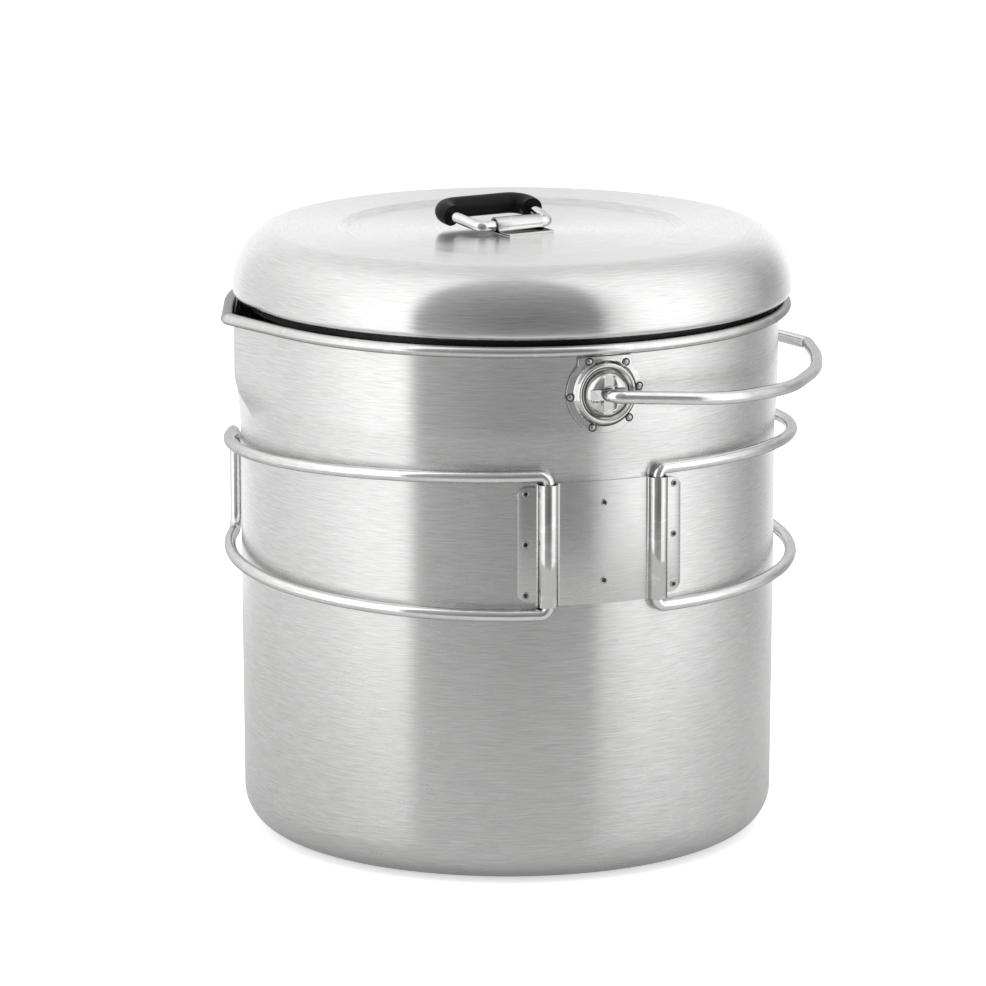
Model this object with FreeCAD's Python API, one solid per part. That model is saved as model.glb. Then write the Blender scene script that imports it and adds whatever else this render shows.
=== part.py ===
import FreeCAD, Part
import math
import os

# Camping cooking pot with a pouring spout, a swinging bail, two folding wire handles
# and a lift-off lid. Millimetres. Z is up, the base stands on z = 0 and the pot's axis
# is the Z axis. The spout points to -X, the bail's pivots and the handle bracket lie
# on the Y axis, and the bail is folded down towards +X.

V = FreeCAD.Vector

# ---------------------------------------------------------------- driving dimensions
SHEET = 0.6                     # body and lid sheet thickness
BASE_CORNER = 9.6               # outside radius between base and wall
WALL_R_LOW = 67.0               # outside radius of the wall above the corner
WALL_R_BAND = 67.4              # at the handle bracket
WALL_R_TOP = 68.13              # above the flare, under the rim
Z_WALL_BAND = 68.0              # height where WALL_R_BAND starts
Z_WALL_FLARE = 103.0            # height where the flare starts
Z_WALL_TOP = 113.0              # height where the flare ends

RIM_Z = 134.0                   # height of the rolled rim's centre
RIM_CURL = 1.9                  # outside radius of the roll
RIM_R = WALL_R_TOP - SHEET + RIM_CURL
CURL_TURN = 295.0               # degrees that the sheet is rolled through

SPOUT_HALF_ANGLE = 19.4         # half angle of the spout's V, in plan
SPOUT_TIP_R = 3.2               # plan radius of the rim's centre line at the tip
Z_SPOUT_LOW = 109.0             # where the bulge starts
SPOUT_FOOT_HALF = 12.0          # half angle of the bulge's foot on the round wall
# How much of the spout has come out of the wall at each height.
SPOUT_RISE = [(0.30, 111.6), (0.72, 114.6), (1.0, 118.6), (1.0, RIM_Z)]

LID_MAX_R = 70.3
Z_LID_MAX = 138.0               # height of the largest radius
LID_TOP_Z = 153.1
LID_FLAT_R = 59.1               # where the shoulder starts on the top
LID_LIP_R = 2.0                 # the edge is turned in by this radius
LID_PANEL_R = 41.0              # radius of the sunk round panel
LID_PANEL_STEP = 1.1            # depth of the sunk panel
LID_STEP_RUN = 2.6              # width of the sloped step round it
SKIRT_R = 66.1                  # outside radius of the plug skirt
SKIRT_END_Z = 133.7
LID_SHIFT = (1.03, -0.376)       # the lid rests this far off the pot's axis, in X and Y

PIVOT_Z = 122.7                 # bail pivot height
EAR_R = 9.8                     # bail ear plate radius
EAR_SHEET = 0.8
EAR_TOP_Z = 131.8               # the plate is cut flat under the rim
EAR_NECK_HALF = 7.0             # half width of the two shoulder tabs
EAR_BEAD_R = 6.9                # radius of the raised ring
EAR_BEAD_HALF = 0.5             # half width of its flat top
EAR_BEAD_FOOT = 1.2             # how far its foot spreads outward
EAR_BEAD_H = 2.0
EAR_BOWL_R = 6.1
EAR_BOWL_H = 1.0                # the ring-shaped hollow round the dome
EAR_DOME_H = 4.4                # dome height above the wall
EAR_DOME_R = 5.7
EAR_DOME_SHOULDER = (4.4, 1.0)  # radius, and drop from the dome's top
EAR_DOME_FLAT_R = 2.5
EAR_UNDER_H = 0.3               # hollow under the pressing
EAR_GROOVE = 3.4                # width of the crossed detent grooves
EAR_GROOVE_H = 3.2              # groove floor above the wall
EAR_PRESS = 0.7                 # thickness left under the grooves
EAR_PLATE_HALF_DEG = 9.5        # the ear's blank before its round outline is cut
EAR_CUT = (55.0, 75.0)          # a cut along the pivot's axis reaches through the wall
EAR_WELD_R = 0.8
EAR_WELD_H = 0.35
EAR_WELD_RING = 8.95
EAR_WELD_ANGLES = [118, 54, 7, 314, 248, 184]

BAIL_WIRE = 3.2                 # bail wire diameter
BAIL_REST = 3.5                 # degrees that the bail hangs below level
BAIL_PIVOT_Y = 74.6             # the bail's arm, measured out from the pot's axis
BAIL_POINTS = [(28.5, 77.4), (51.0, 63.5), (68.5, 38.0), (77.2, 17.5), (82.2, 0.0)]
BAIL_BENDS = [3.0, 25.0, 50.0, 90.0, 120.0, 4.5]
BAIL_HEAD_R = 2.4               # the flattened head inside each ear
BAIL_HEAD_T = 1.2
BAIL_HEAD_GAP = 0.35            # from the wall to the head
PIN_CLEARANCE = 0.08

STRAP_SHEET = 0.8               # handle bracket sheet
STRAP_Z = (70.5, 100.9)
STRAP_FLANGE_Z = (71.3, 100.1)
STRAP_HALF_DEG = 18.3           # the bracket's half angle round the pot
STRAP_CORNER = 3.0
BARREL_DEG = 11.9               # angle of each hinge barrel from the front
BARREL_Z = (70.5, 100.9)
BARREL_CLEARANCE = 0.1
STRAP_WELD_R = 0.9
STRAP_WELD_H = 0.3
WELD_BITE = 0.02                # how deep a weld nugget is sunk in its plate
FLANGE_WELD_DEG = 16.4
FLANGE_WELD_Z = [73.2, 85.8, 98.4]
MIDDLE_WELD_Z = [76.2, 95.6]

HANDLE_WIRE = 3.0
HANDLE_MID_Z = 85.7
HANDLE_HALF_ROOT = 17.2         # half the arms' spacing at the hinge
HANDLE_HALF_END = 13.1          # and at the far end
HANDLE_BEND = 2.0
HANDLE_FAR_BEND = 4.5
HANDLE_REACH_DEG = 104.0        # how far the folded handle wraps round the pot
HANDLE_END_R = 70.1             # wire centre radius at the far end
HANDLE_END_GAP = 5.0            # gap between the wire's two ends in the barrel
RIGHT_HANDLE_OPEN = 1.3         # degrees that the right handle rests open

CLIP_TURN = 10.0                # the lid's clip is turned this far round the lid
CLIP_SHEET = 0.7
CLIP_LENGTH = 12.8
CLIP_SIDE = -1.5                # the clip's middle, along the hinge
CLIP_TAB_Y = -12.6              # far end of the flat tab
CLIP_TAB_FOLD = 1.6             # the two ends together, in sheet thicknesses
RING_WIRE = 2.7
RING_AXIS_Y = -5.0
RING_WIDTH = 19.6               # between the legs' centre lines, at the hinge
RING_SPREAD = 2.8               # how far each leg leans out by the far bar
RING_REST = 7.6                 # degrees that the resting ring slopes up
RING_REACH = 17.5               # hinge to far bar
RING_CORNER = 4.5
RING_ROOT_BEND = 1.9
RING_SIDE_PLAY = -0.7           # the ring rests slid this far along the clip
RING_CLEARANCE = 0.1
SLEEVE_D = 5.3
SLEEVE_LEG = 1.2                # how far the sleeve runs down each leg


# ---------------------------------------------------------------- helpers
def polar(radius, degrees, z=0.0):
    """A point at an angle round the pot, counted from -Y (the front) towards +X."""
    a = math.radians(degrees)
    return V(radius * math.sin(a), -radius * math.cos(a), z)


def wire_of(points):
    """A closed wire of straight edges."""
    return Part.makePolygon(list(points) + [points[0]])


def spun(points, start=None, sweep=360.0):
    """Turn a closed outline of (radius, z) points about the Z axis."""
    face = Part.Face(wire_of([V(r, 0, z) for r, z in points]))
    solid = face.revolve(V(0, 0, 0), V(0, 0, 1), sweep)
    if start is not None:
        solid.rotate(V(0, 0, 0), V(0, 0, 1), start - 90.0)
    return solid


def spun_face(edges, sweep=360.0):
    """Turn a closed outline given as edges in the XZ plane about the Z axis."""
    face = Part.Face(Part.Wire(Part.__sortEdges__(edges)))
    return face.revolve(V(0, 0, 0), V(0, 0, 1), sweep)


def arc(p, q, r):
    """The circular edge through three points."""
    return Part.Arc(p, q, r).toShape()


def line(p, q):
    return Part.LineSegment(p, q).toShape()


def bend_edges(points, radii):
    """Straight runs between points, joined by tangent arcs of the given radii."""
    edges = []
    last = points[0]
    for i in range(1, len(points) - 1):
        corner = points[i]
        back = (points[i - 1] - corner).normalize()
        ahead = (points[i + 1] - corner).normalize()
        half = back.getAngle(ahead) / 2
        trim = radii[i - 1] / math.tan(half)
        start = corner + back * trim
        end = corner + ahead * trim
        inward = (back + ahead).normalize()
        middle = corner + inward * (radii[i - 1] / math.sin(half) - radii[i - 1])
        edges.append(line(last, start))
        edges.append(arc(start, middle, end))
        last = end
    edges.append(line(last, points[-1]))
    return edges


def tangent_arc(start, direction, end):
    """The arc that leaves start along direction and passes through end."""
    chord = end - start
    normal = chord - direction * chord.dot(direction)
    normal.normalize()
    radius = chord.dot(chord) / (2 * chord.dot(normal))
    centre = start + normal * radius
    middle = (start + end) * 0.5 - centre
    middle = centre + middle.normalize() * radius
    leave = (end - centre).normalize()
    turn = (normal * -1).getAngle(leave)
    away = direction * math.cos(turn) + normal * math.sin(turn)
    return arc(start, middle, end), away


def swept_wire(edges, diameter):
    """A round wire along a path of edges."""
    path = Part.Wire(edges)
    first = path.OrderedEdges[0]
    begin = first.valueAt(first.FirstParameter)
    heading = first.tangentAt(first.FirstParameter)
    section = Part.Wire(Part.Circle(begin, heading, diameter / 2).toShape())
    solid = path.makePipeShell([section], True, True)
    expected = math.pi * diameter ** 2 / 4 * path.Length
    print("wire length %.1f mm, volume %.3f of expected" % (path.Length, solid.Volume / expected))
    return solid


def fused(shapes):
    """Join shapes into one solid with its split faces merged."""
    body = shapes[0].multiFuse(shapes[1:]) if len(shapes) > 1 else shapes[0]
    return body.removeSplitter()


# ---------------------------------------------------------------- pot body
def wall_radius(z):
    """Outside radius of the round wall at a height."""
    stations = [(BASE_CORNER, WALL_R_LOW), (Z_WALL_BAND, WALL_R_BAND),
                (Z_WALL_FLARE, WALL_R_BAND), (Z_WALL_TOP, WALL_R_TOP), (RIM_Z, WALL_R_TOP)]
    for (z0, r0), (z1, r1) in zip(stations, stations[1:]):
        if z <= z1:
            return r0 + (r1 - r0) * (z - z0) / (z1 - z0)
    return WALL_R_TOP


def lower_profile(inset, z_top):
    """Edges from the base's centre out and up the wall, moved in by inset."""
    corner_r = BASE_CORNER - inset
    centre = V(WALL_R_LOW - BASE_CORNER, 0, BASE_CORNER)
    diagonal = corner_r / math.sqrt(2)
    heights = [BASE_CORNER, Z_WALL_BAND, Z_WALL_FLARE, z_top]
    wall = [V(wall_radius(z) - inset, 0, z) for z in heights]
    edges = [line(V(0, 0, inset), V(centre.x, 0, inset))]
    edges.append(arc(V(centre.x, 0, inset), centre + V(diagonal, 0, -diagonal), wall[0]))
    edges += [line(p, q) for p, q in zip(wall, wall[1:])]
    return edges


def spout_outline(z, offset, share, round_r):
    """The rim's plan outline at height z, moved out by offset, with part of the spout.

    The outline is the round wall, two straight sides and a small arc at the tip."""
    tip_r = SPOUT_TIP_R + offset
    full_centre = (RIM_R - SPOUT_TIP_R) / math.cos(math.radians(SPOUT_HALF_ANGLE))
    centre = round_r + share * (full_centre + SPOUT_TIP_R - RIM_R) - tip_r
    half = math.degrees(math.acos((round_r - tip_r) / centre))
    tip_centre = polar(centre, -90, z)
    corners = []
    for side in (-1, 1):
        outward = polar(1, -90 + side * half)
        corners.append((polar(round_r, -90 + side * half, z), tip_centre + outward * tip_r))
    (wall_a, tip_a), (wall_b, tip_b) = corners
    nose = tip_centre + polar(tip_r, -90)
    return [arc(wall_b, polar(round_r, 90, z), wall_a), line(wall_a, tip_a),
            arc(tip_a, nose, tip_b), line(tip_b, wall_b)]


def round_outline(z, radius, half):
    """The same four edges on a plain circle, for the foot of the spout's bulge."""
    a, b = polar(radius, -90 - half, z), polar(radius, -90 + half, z)
    c, d = polar(radius, -90 - half / 3, z), polar(radius, -90 + half / 3, z)
    return [arc(b, polar(radius, 90, z), a), arc(a, polar(radius, -90 - half * 2 / 3, z), c),
            arc(c, polar(radius, -90, z), d), arc(d, polar(radius, -90 + half * 2 / 3, z), b)]


def spout_loft(inset):
    """The inside or outside of the wall from the bulge's foot to the rim."""
    foot = round_outline(Z_SPOUT_LOW, wall_radius(Z_SPOUT_LOW) - inset, SPOUT_FOOT_HALF)
    sections = [Part.Wire(foot)]
    offset = WALL_R_TOP - inset - RIM_R
    for share, z in SPOUT_RISE:
        outline = spout_outline(z, offset, share, wall_radius(z) - inset)
        sections.append(Part.Wire(outline))
    return Part.makeLoft(sections, True, True)


def make_pot_body():
    axis_top = V(0, 0, Z_SPOUT_LOW)
    shells = []
    for inset in (0.0, SHEET):
        edges = lower_profile(inset, Z_SPOUT_LOW)
        top = V(wall_radius(Z_SPOUT_LOW) - inset, 0, Z_SPOUT_LOW)
        edges += [line(top, axis_top), line(axis_top, V(0, 0, inset))]
        shells.append(spun_face(edges))
    lower = shells[0].cut(shells[1])
    upper = spout_loft(0.0).cut(spout_loft(SHEET))

    rim_path = Part.Wire(spout_outline(RIM_Z, 0.0, 1.0, RIM_R))
    inner = RIM_CURL - SHEET
    centre = V(RIM_R, 0, RIM_Z)

    def on_roll(radius, degrees):
        a = math.radians(degrees)
        return centre + V(radius * math.cos(a), 0, radius * math.sin(a))

    start, end = 180.0, 180.0 - CURL_TURN
    middle = (start + end) / 2
    roll = Part.Wire([
        arc(on_roll(RIM_CURL, start), on_roll(RIM_CURL, middle), on_roll(RIM_CURL, end)),
        line(on_roll(RIM_CURL, end), on_roll(inner, end)),
        arc(on_roll(inner, end), on_roll(inner, middle), on_roll(inner, start)),
        line(on_roll(inner, start), on_roll(RIM_CURL, start))])
    rim = rim_path.makePipeShell([roll], True, False)
    return fused([lower, upper, rim])


# ---------------------------------------------------------------- bail ears and their welds
def wall_band(z0, z1, thickness, half_deg, centre_deg=0.0):
    """A strip of sheet that hugs the wall, half_deg each side of an angle."""
    heights = [z0] + [z for z in (Z_WALL_BAND, Z_WALL_FLARE, Z_WALL_TOP) if z0 < z < z1] + [z1]
    inside = [(wall_radius(z), z) for z in heights]
    outside = [(wall_radius(z) + thickness, z) for z in reversed(heights)]
    return spun(inside + outside, centre_deg - half_deg, 2 * half_deg)


def ear_axis_disc(radius, y0, y1):
    """A round bar along the front ear's axis."""
    return Part.makeCylinder(radius, y1 - y0, V(0, -y0, PIVOT_Z), V(0, -1, 0))


def ear_profile():
    """The pressed dish about the pivot's axis, as (radius, height above the wall)."""
    hole_r = BAIL_WIRE / 2 + PIN_CLEARANCE
    shoulder_r, shoulder_drop = EAR_DOME_SHOULDER
    foot_r = EAR_BEAD_R + EAR_BEAD_FOOT
    under_r = EAR_BEAD_R - EAR_UNDER_H
    web = EAR_GROOVE_H - EAR_PRESS
    return [(foot_r, 0.0), (foot_r, EAR_SHEET * 0.7),
            (EAR_BEAD_R + EAR_BEAD_HALF, EAR_BEAD_H), (EAR_BEAD_R - EAR_BEAD_HALF, EAR_BEAD_H),
            (EAR_BOWL_R, EAR_BOWL_H), (EAR_DOME_R, EAR_BOWL_H),
            (shoulder_r, EAR_DOME_H - shoulder_drop), (EAR_DOME_FLAT_R, EAR_DOME_H),
            (hole_r, EAR_GROOVE_H + 0.1), (hole_r, web), (EAR_DOME_FLAT_R + 0.5, web),
            (EAR_DOME_R - 0.8, EAR_UNDER_H), (under_r, EAR_UNDER_H), (under_r, 0.0)]


def make_front_ear():
    plate = wall_band(PIVOT_Z - EAR_R - 1, EAR_TOP_Z, EAR_SHEET, EAR_PLATE_HALF_DEG)
    cut_in, cut_out = EAR_CUT
    shoulder_h = EAR_TOP_Z - PIVOT_Z
    shoulders = Part.makeBox(2 * EAR_NECK_HALF, cut_out - cut_in, shoulder_h,
                             V(-EAR_NECK_HALF, -cut_out, PIVOT_Z))
    plate = plate.common(ear_axis_disc(EAR_R, cut_in, cut_out).fuse(shoulders))
    plate = plate.cut(ear_axis_disc(EAR_BEAD_R, cut_in, cut_out))

    face = WALL_R_TOP
    outline = [V(r, -(face + h), PIVOT_Z) for r, h in ear_profile()]
    dish = Part.Face(wire_of(outline)).revolve(V(0, 0, PIVOT_Z), V(0, 1, 0), 360)
    # The crossed grooves are pressed into the dome, so the wire can click into them.
    groove_top = face + EAR_DOME_H + 1
    groove_floor = face + EAR_GROOVE_H
    for size in ((EAR_DOME_R * 2, EAR_GROOVE), (EAR_GROOVE, EAR_DOME_R * 2)):
        groove = Part.makeBox(size[0], groove_top - groove_floor, size[1],
                              V(-size[0] / 2, -groove_top, PIVOT_Z - size[1] / 2))
        dish = dish.cut(groove.common(ear_axis_disc(EAR_DOME_R, groove_floor, groove_top)))
    return fused([plate, dish.cut(make_outer_wall())])


def make_outer_wall():
    """The solid inside the wall's outer face, used to trim what sits on it."""
    profile = [(0, BASE_CORNER), (WALL_R_LOW, BASE_CORNER), (WALL_R_BAND, Z_WALL_BAND),
               (WALL_R_BAND, Z_WALL_FLARE), (WALL_R_TOP, Z_WALL_TOP), (WALL_R_TOP, RIM_Z), (0, RIM_Z)]
    return spun(profile)


def wall_dot(degrees, z, radius, inner_r, height):
    """A small round weld nugget on a radial axis."""
    return Part.makeCylinder(radius, height, polar(inner_r, degrees, z), polar(1, degrees))


def make_front_ear_welds():
    dots = []
    for angle in EAR_WELD_ANGLES:
        a = math.radians(angle)
        x, z = EAR_WELD_RING * math.cos(a), PIVOT_Z + EAR_WELD_RING * math.sin(a)
        base = wall_radius(z) + EAR_SHEET
        degrees = math.degrees(math.asin(x / base))
        dots.append(wall_dot(degrees, z, EAR_WELD_R, base - WELD_BITE, EAR_WELD_H))
    return Part.makeCompound(dots)


def to_rear(shape):
    """Turn a front piece half a turn round the pot."""
    copy = shape.copy()
    copy.rotate(V(0, 0, 0), V(0, 0, 1), 180)
    return copy


# ---------------------------------------------------------------- handle bracket
def barrel_shape(degrees, bore):
    """One half-round barrel in plan, either its outside or its bore, as a solid."""
    centre_r = WALL_R_BAND + BARREL_CLEARANCE + HANDLE_WIRE / 2
    radius = HANDLE_WIRE / 2 + BARREL_CLEARANCE + (0 if bore else STRAP_SHEET)
    inner_r = WALL_R_LOW - 2
    z0, z1 = (STRAP_Z[0] - 5, STRAP_Z[1] + 5) if bore else BARREL_Z
    axis_point = polar(centre_r, degrees, z0)
    round_part = Part.makeCylinder(radius, z1 - z0, axis_point)
    side = polar(1, degrees + 90)
    out = polar(1, degrees)
    foot = polar(inner_r, degrees, z0)
    depth = centre_r - inner_r
    corners = [foot - side * radius, foot + side * radius,
               foot + side * radius + out * depth, foot - side * radius + out * depth]
    block = Part.Face(wire_of(corners)).extrude(V(0, 0, z1 - z0))
    return round_part.fuse(block)


def make_handle_bracket():
    strap = wall_band(STRAP_FLANGE_Z[0], STRAP_FLANGE_Z[1], STRAP_SHEET, STRAP_HALF_DEG)
    edges = []
    for edge in strap.Edges:
        along = edge.BoundBox
        radial = math.hypot(along.XLength, along.YLength)
        middle = edge.CenterOfMass
        angle = abs(math.degrees(math.atan2(middle.x, -middle.y)))
        if along.ZLength < 0.01 and radial < STRAP_SHEET * 1.1 and angle > STRAP_HALF_DEG - 0.5:
            edges.append(edge)
    strap = strap.makeFillet(STRAP_CORNER, edges)
    middle = wall_band(STRAP_Z[0], STRAP_Z[1], STRAP_SHEET, BARREL_DEG)
    parts = [strap, middle]
    for side in (-1, 1):
        parts.append(barrel_shape(side * BARREL_DEG, False).cut(make_outer_wall()))
    body = fused(parts)
    for side in (-1, 1):
        body = body.cut(barrel_shape(side * BARREL_DEG, True))
    return body


def make_bracket_welds():
    base = WALL_R_BAND + STRAP_SHEET
    dots = []
    for side in (-1, 1):
        for z in FLANGE_WELD_Z:
            dots.append(wall_dot(side * FLANGE_WELD_DEG, z, STRAP_WELD_R, base - WELD_BITE, STRAP_WELD_H))
    for z in MIDDLE_WELD_Z:
        dots.append(wall_dot(0, z, STRAP_WELD_R, base - WELD_BITE, STRAP_WELD_H))
    return Part.makeCompound(dots)


# ---------------------------------------------------------------- folding handles
def hinge_point(side):
    """Where a handle's hinge axis crosses z = 0."""
    return polar(WALL_R_BAND + BARREL_CLEARANCE + HANDLE_WIRE / 2, side * BARREL_DEG)


def make_left_handle():
    hinge = hinge_point(-1)
    up = V(0, 0, 1)
    tangent = polar(1, -BARREL_DEG - 90)
    far = polar(HANDLE_END_R, -BARREL_DEG - HANDLE_REACH_DEG)
    edges_up = []
    root_z = HANDLE_MID_Z + HANDLE_HALF_ROOT
    end_z = HANDLE_MID_Z + HANDLE_HALF_END
    start = hinge + up * (HANDLE_MID_Z + HANDLE_END_GAP / 2)
    leg_top = hinge + up * (root_z - HANDLE_BEND)
    arm_start = hinge + up * root_z + tangent * HANDLE_BEND
    corner_out = (up + tangent * -1).normalize() * HANDLE_BEND
    bend_mid = hinge + up * (root_z - HANDLE_BEND) + tangent * HANDLE_BEND + corner_out
    edges_up.append(line(start, leg_top))
    edges_up.append(arc(leg_top, bend_mid, arm_start))
    arm, away = tangent_arc(arm_start, tangent, far + up * end_z)
    edges_up.append(arm)
    # Far corner: turn from the arm's direction to straight down.
    down = V(0, 0, -1)
    arm_end = far + up * end_z
    turn = away.getAngle(down)
    trim = HANDLE_FAR_BEND * math.tan(turn / 2)
    corner = arm_end + away * trim
    bend_end = corner + down * trim
    inward = (down - away).normalize()
    middle = corner + inward * (HANDLE_FAR_BEND / math.cos(turn / 2) - HANDLE_FAR_BEND)
    edges_up.append(arc(arm_end, middle, bend_end))
    centre = V(bend_end.x, bend_end.y, HANDLE_MID_Z)
    edges_up.append(line(bend_end, centre))

    upper = Part.Wire(edges_up)
    lower = upper.mirror(V(0, 0, HANDLE_MID_Z), V(0, 0, 1))
    halves = [swept_wire(edges_up, HANDLE_WIRE), swept_wire(lower.Edges, HANDLE_WIRE)]
    return fused(halves)


def make_right_handle():
    handle = make_left_handle().mirror(V(0, 0, 0), V(1, 0, 0))
    handle.rotate(hinge_point(1), V(0, 0, 1), -RIGHT_HANDLE_OPEN)
    return handle


# ---------------------------------------------------------------- bail
def make_bail():
    head_start = WALL_R_TOP + BAIL_HEAD_GAP
    pin_end = head_start + BAIL_HEAD_T / 2
    half = [V(0, -pin_end, 0), V(0, -BAIL_PIVOT_Y, 0)]
    half += [V(u, -v, 0) for u, v in BAIL_POINTS]
    other = [V(p.x, -p.y, 0) for p in reversed(half[:-1])]
    radii = BAIL_BENDS + list(reversed(BAIL_BENDS[:-1]))
    wire = swept_wire(bend_edges(half + other, radii), BAIL_WIRE)
    heads = []
    for side in (-1, 1):
        outward = V(0, side, 0)
        heads.append(Part.makeCylinder(BAIL_HEAD_R, BAIL_HEAD_T, outward * head_start, outward))
    bail = fused([wire] + heads)
    bail.rotate(V(0, 0, 0), V(0, 1, 0), BAIL_REST)
    bail.translate(V(0, 0, PIVOT_Z))
    return bail


# ---------------------------------------------------------------- lid
def lid_outline(inset):
    """Edges of the lid's outside (inset 0) or inside (inset SHEET), from axis to edge."""
    panel_z = LID_TOP_Z - LID_PANEL_STEP - inset
    top_z = LID_TOP_Z - inset
    side_r = LID_MAX_R - inset
    shoulder_h = LID_TOP_Z - Z_LID_MAX - inset
    shoulder_w = LID_MAX_R - LID_FLAT_R - inset
    points = [V(0, 0, panel_z), V(LID_PANEL_R, 0, panel_z),
              V(LID_PANEL_R + LID_STEP_RUN, 0, top_z), V(LID_FLAT_R, 0, top_z)]
    edges = [line(p, q) for p, q in zip(points, points[1:])]
    ellipse = Part.Ellipse(V(0, 0, 0), shoulder_h, shoulder_w)
    quarter = ellipse.toShape(0, math.pi / 2)
    quarter.rotate(V(0, 0, 0), V(0, 1, 0), -90)
    quarter.rotate(V(0, 0, 0), V(0, 0, 1), -90)
    quarter.translate(V(LID_FLAT_R, 0, Z_LID_MAX))
    edges.append(quarter)
    lip_r = LID_LIP_R - inset
    lip_centre = V(side_r - lip_r, 0, Z_LID_MAX)
    d = lip_r / math.sqrt(2)
    edges.append(arc(V(side_r, 0, Z_LID_MAX), lip_centre + V(d, 0, -d), lip_centre - V(0, 0, lip_r)))
    return edges, lip_centre.x, Z_LID_MAX - lip_r


def make_lid_shell():
    outer, lip_x, lip_z = lid_outline(0.0)
    inner, inner_x, inner_z = lid_outline(SHEET)
    skirt_in = SKIRT_R - SHEET
    tail = [V(lip_x, 0, lip_z), V(SKIRT_R, 0, lip_z), V(SKIRT_R, 0, SKIRT_END_Z),
            V(skirt_in, 0, SKIRT_END_Z), V(skirt_in, 0, inner_z), V(inner_x, 0, inner_z)]
    edges = outer + inner + [line(p, q) for p, q in zip(tail, tail[1:])]
    edges.append(line(V(0, 0, LID_TOP_Z - LID_PANEL_STEP), V(0, 0, LID_TOP_Z - LID_PANEL_STEP - SHEET)))
    return on_lid(spun_face(edges))


def on_lid(shape):
    """Turn a piece of the lid about its axis and set it down where the lid rests."""
    shape.rotate(V(0, 0, 0), V(0, 0, 1), CLIP_TURN)
    shape.translate(V(LID_SHIFT[0], LID_SHIFT[1], 0))
    return shape


def lifted(shape):
    """Slope a piece of the ring up from its hinge, to where it rests."""
    shape.rotate(V(0, RING_AXIS_Y, ring_axis_z()), V(1, 0, 0), RING_REST)
    return shape


def panel_top():
    return LID_TOP_Z - LID_PANEL_STEP


def ring_axis_z():
    return panel_top() + CLIP_SHEET + RING_CLEARANCE + RING_WIRE / 2


def make_lid_clip():
    """A strip folded round the ring's wire, with both ends flat on the lid."""
    bore = RING_WIRE / 2 + RING_CLEARANCE
    outer = bore + CLIP_SHEET
    x0 = CLIP_SIDE - CLIP_LENGTH / 2
    axis = V(x0, RING_AXIS_Y, ring_axis_z())
    barrel = Part.makeCylinder(outer, CLIP_LENGTH, axis, V(1, 0, 0))
    tab = Part.makeBox(CLIP_LENGTH, RING_AXIS_Y - CLIP_TAB_Y, CLIP_SHEET * CLIP_TAB_FOLD,
                       V(x0, CLIP_TAB_Y, panel_top()))
    clip = fused([barrel, tab])
    clip = clip.cut(Part.makeCylinder(bore, CLIP_LENGTH, axis, V(1, 0, 0)))
    return on_lid(clip)


def ring_edges():
    """The ring's closed centre line, flat, with its hinge side along the clip."""
    z = ring_axis_z()
    half = RING_WIDTH / 2
    x = CLIP_SIDE + RING_SIDE_PLAY
    near, far = RING_AXIS_Y, RING_AXIS_Y + RING_REACH
    points = [V(x, near, z), V(x + half, near, z), V(x + half + RING_SPREAD, far, z),
              V(x - half - RING_SPREAD, far, z), V(x - half, near, z), V(x, near, z)]
    return bend_edges(points, [RING_ROOT_BEND, RING_CORNER, RING_CORNER, RING_ROOT_BEND])


def make_ring_wire():
    edges = ring_edges()
    halves = [swept_wire(edges[:5], RING_WIRE), swept_wire(edges[4:], RING_WIRE)]
    return on_lid(lifted(fused(halves)))


def make_ring_sleeve():
    edges = ring_edges()
    leg = edges[2]
    cut = leg.Length - SLEEVE_LEG
    leg_start = leg.valueAt(leg.FirstParameter + cut)
    leg_end = leg.valueAt(leg.LastParameter)
    other = edges[6]
    other_start = other.valueAt(other.FirstParameter)
    other_end = other.valueAt(other.FirstParameter + SLEEVE_LEG)
    path = [line(leg_start, leg_end)] + edges[3:6] + [line(other_start, other_end)]
    outer = swept_wire(path, SLEEVE_D)
    inner = swept_wire(path, RING_WIRE)
    return on_lid(lifted(outer.cut(inner)))


# ---------------------------------------------------------------- write the pieces
def main():
    os.makedirs("parts", exist_ok=True)
    front_ear = make_front_ear()
    front_welds = make_front_ear_welds()
    pieces = {
        "pot_body": make_pot_body(),
        "front_bail_ear": front_ear,
        "rear_bail_ear": to_rear(front_ear),
        "front_ear_welds": front_welds,
        "rear_ear_welds": to_rear(front_welds),
        "handle_bracket": make_handle_bracket(),
        "bracket_welds": make_bracket_welds(),
        "left_handle_wire": make_left_handle(),
        "right_handle_wire": make_right_handle(),
        "bail_wire": make_bail(),
        "lid_shell": make_lid_shell(),
        "lid_clip": make_lid_clip(),
        "lid_ring_wire": make_ring_wire(),
        "lid_ring_sleeve": make_ring_sleeve(),
    }
    for name, shape in pieces.items():
        print(name, shape.isValid(), len(shape.Solids), "solids %.0f mm3" % shape.Volume)
        shape.exportStep("parts/%s.step" % name)


main()
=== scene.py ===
import math

import bmesh
import bpy
from mathutils import Matrix, Vector


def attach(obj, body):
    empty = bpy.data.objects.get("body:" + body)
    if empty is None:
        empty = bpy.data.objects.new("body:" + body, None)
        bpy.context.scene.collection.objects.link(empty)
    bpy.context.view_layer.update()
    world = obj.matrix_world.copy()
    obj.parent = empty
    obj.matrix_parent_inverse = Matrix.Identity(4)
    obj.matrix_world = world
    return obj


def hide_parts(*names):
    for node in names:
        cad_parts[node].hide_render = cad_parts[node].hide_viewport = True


# A camping cooking pot in spun and pressed stainless steel. Sizes are in millimetres
# here and are turned into metres when a mesh is made. Angles round the pot are counted
# from the front (-Y) towards +X, so the pouring spout is at -90 degrees.

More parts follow.
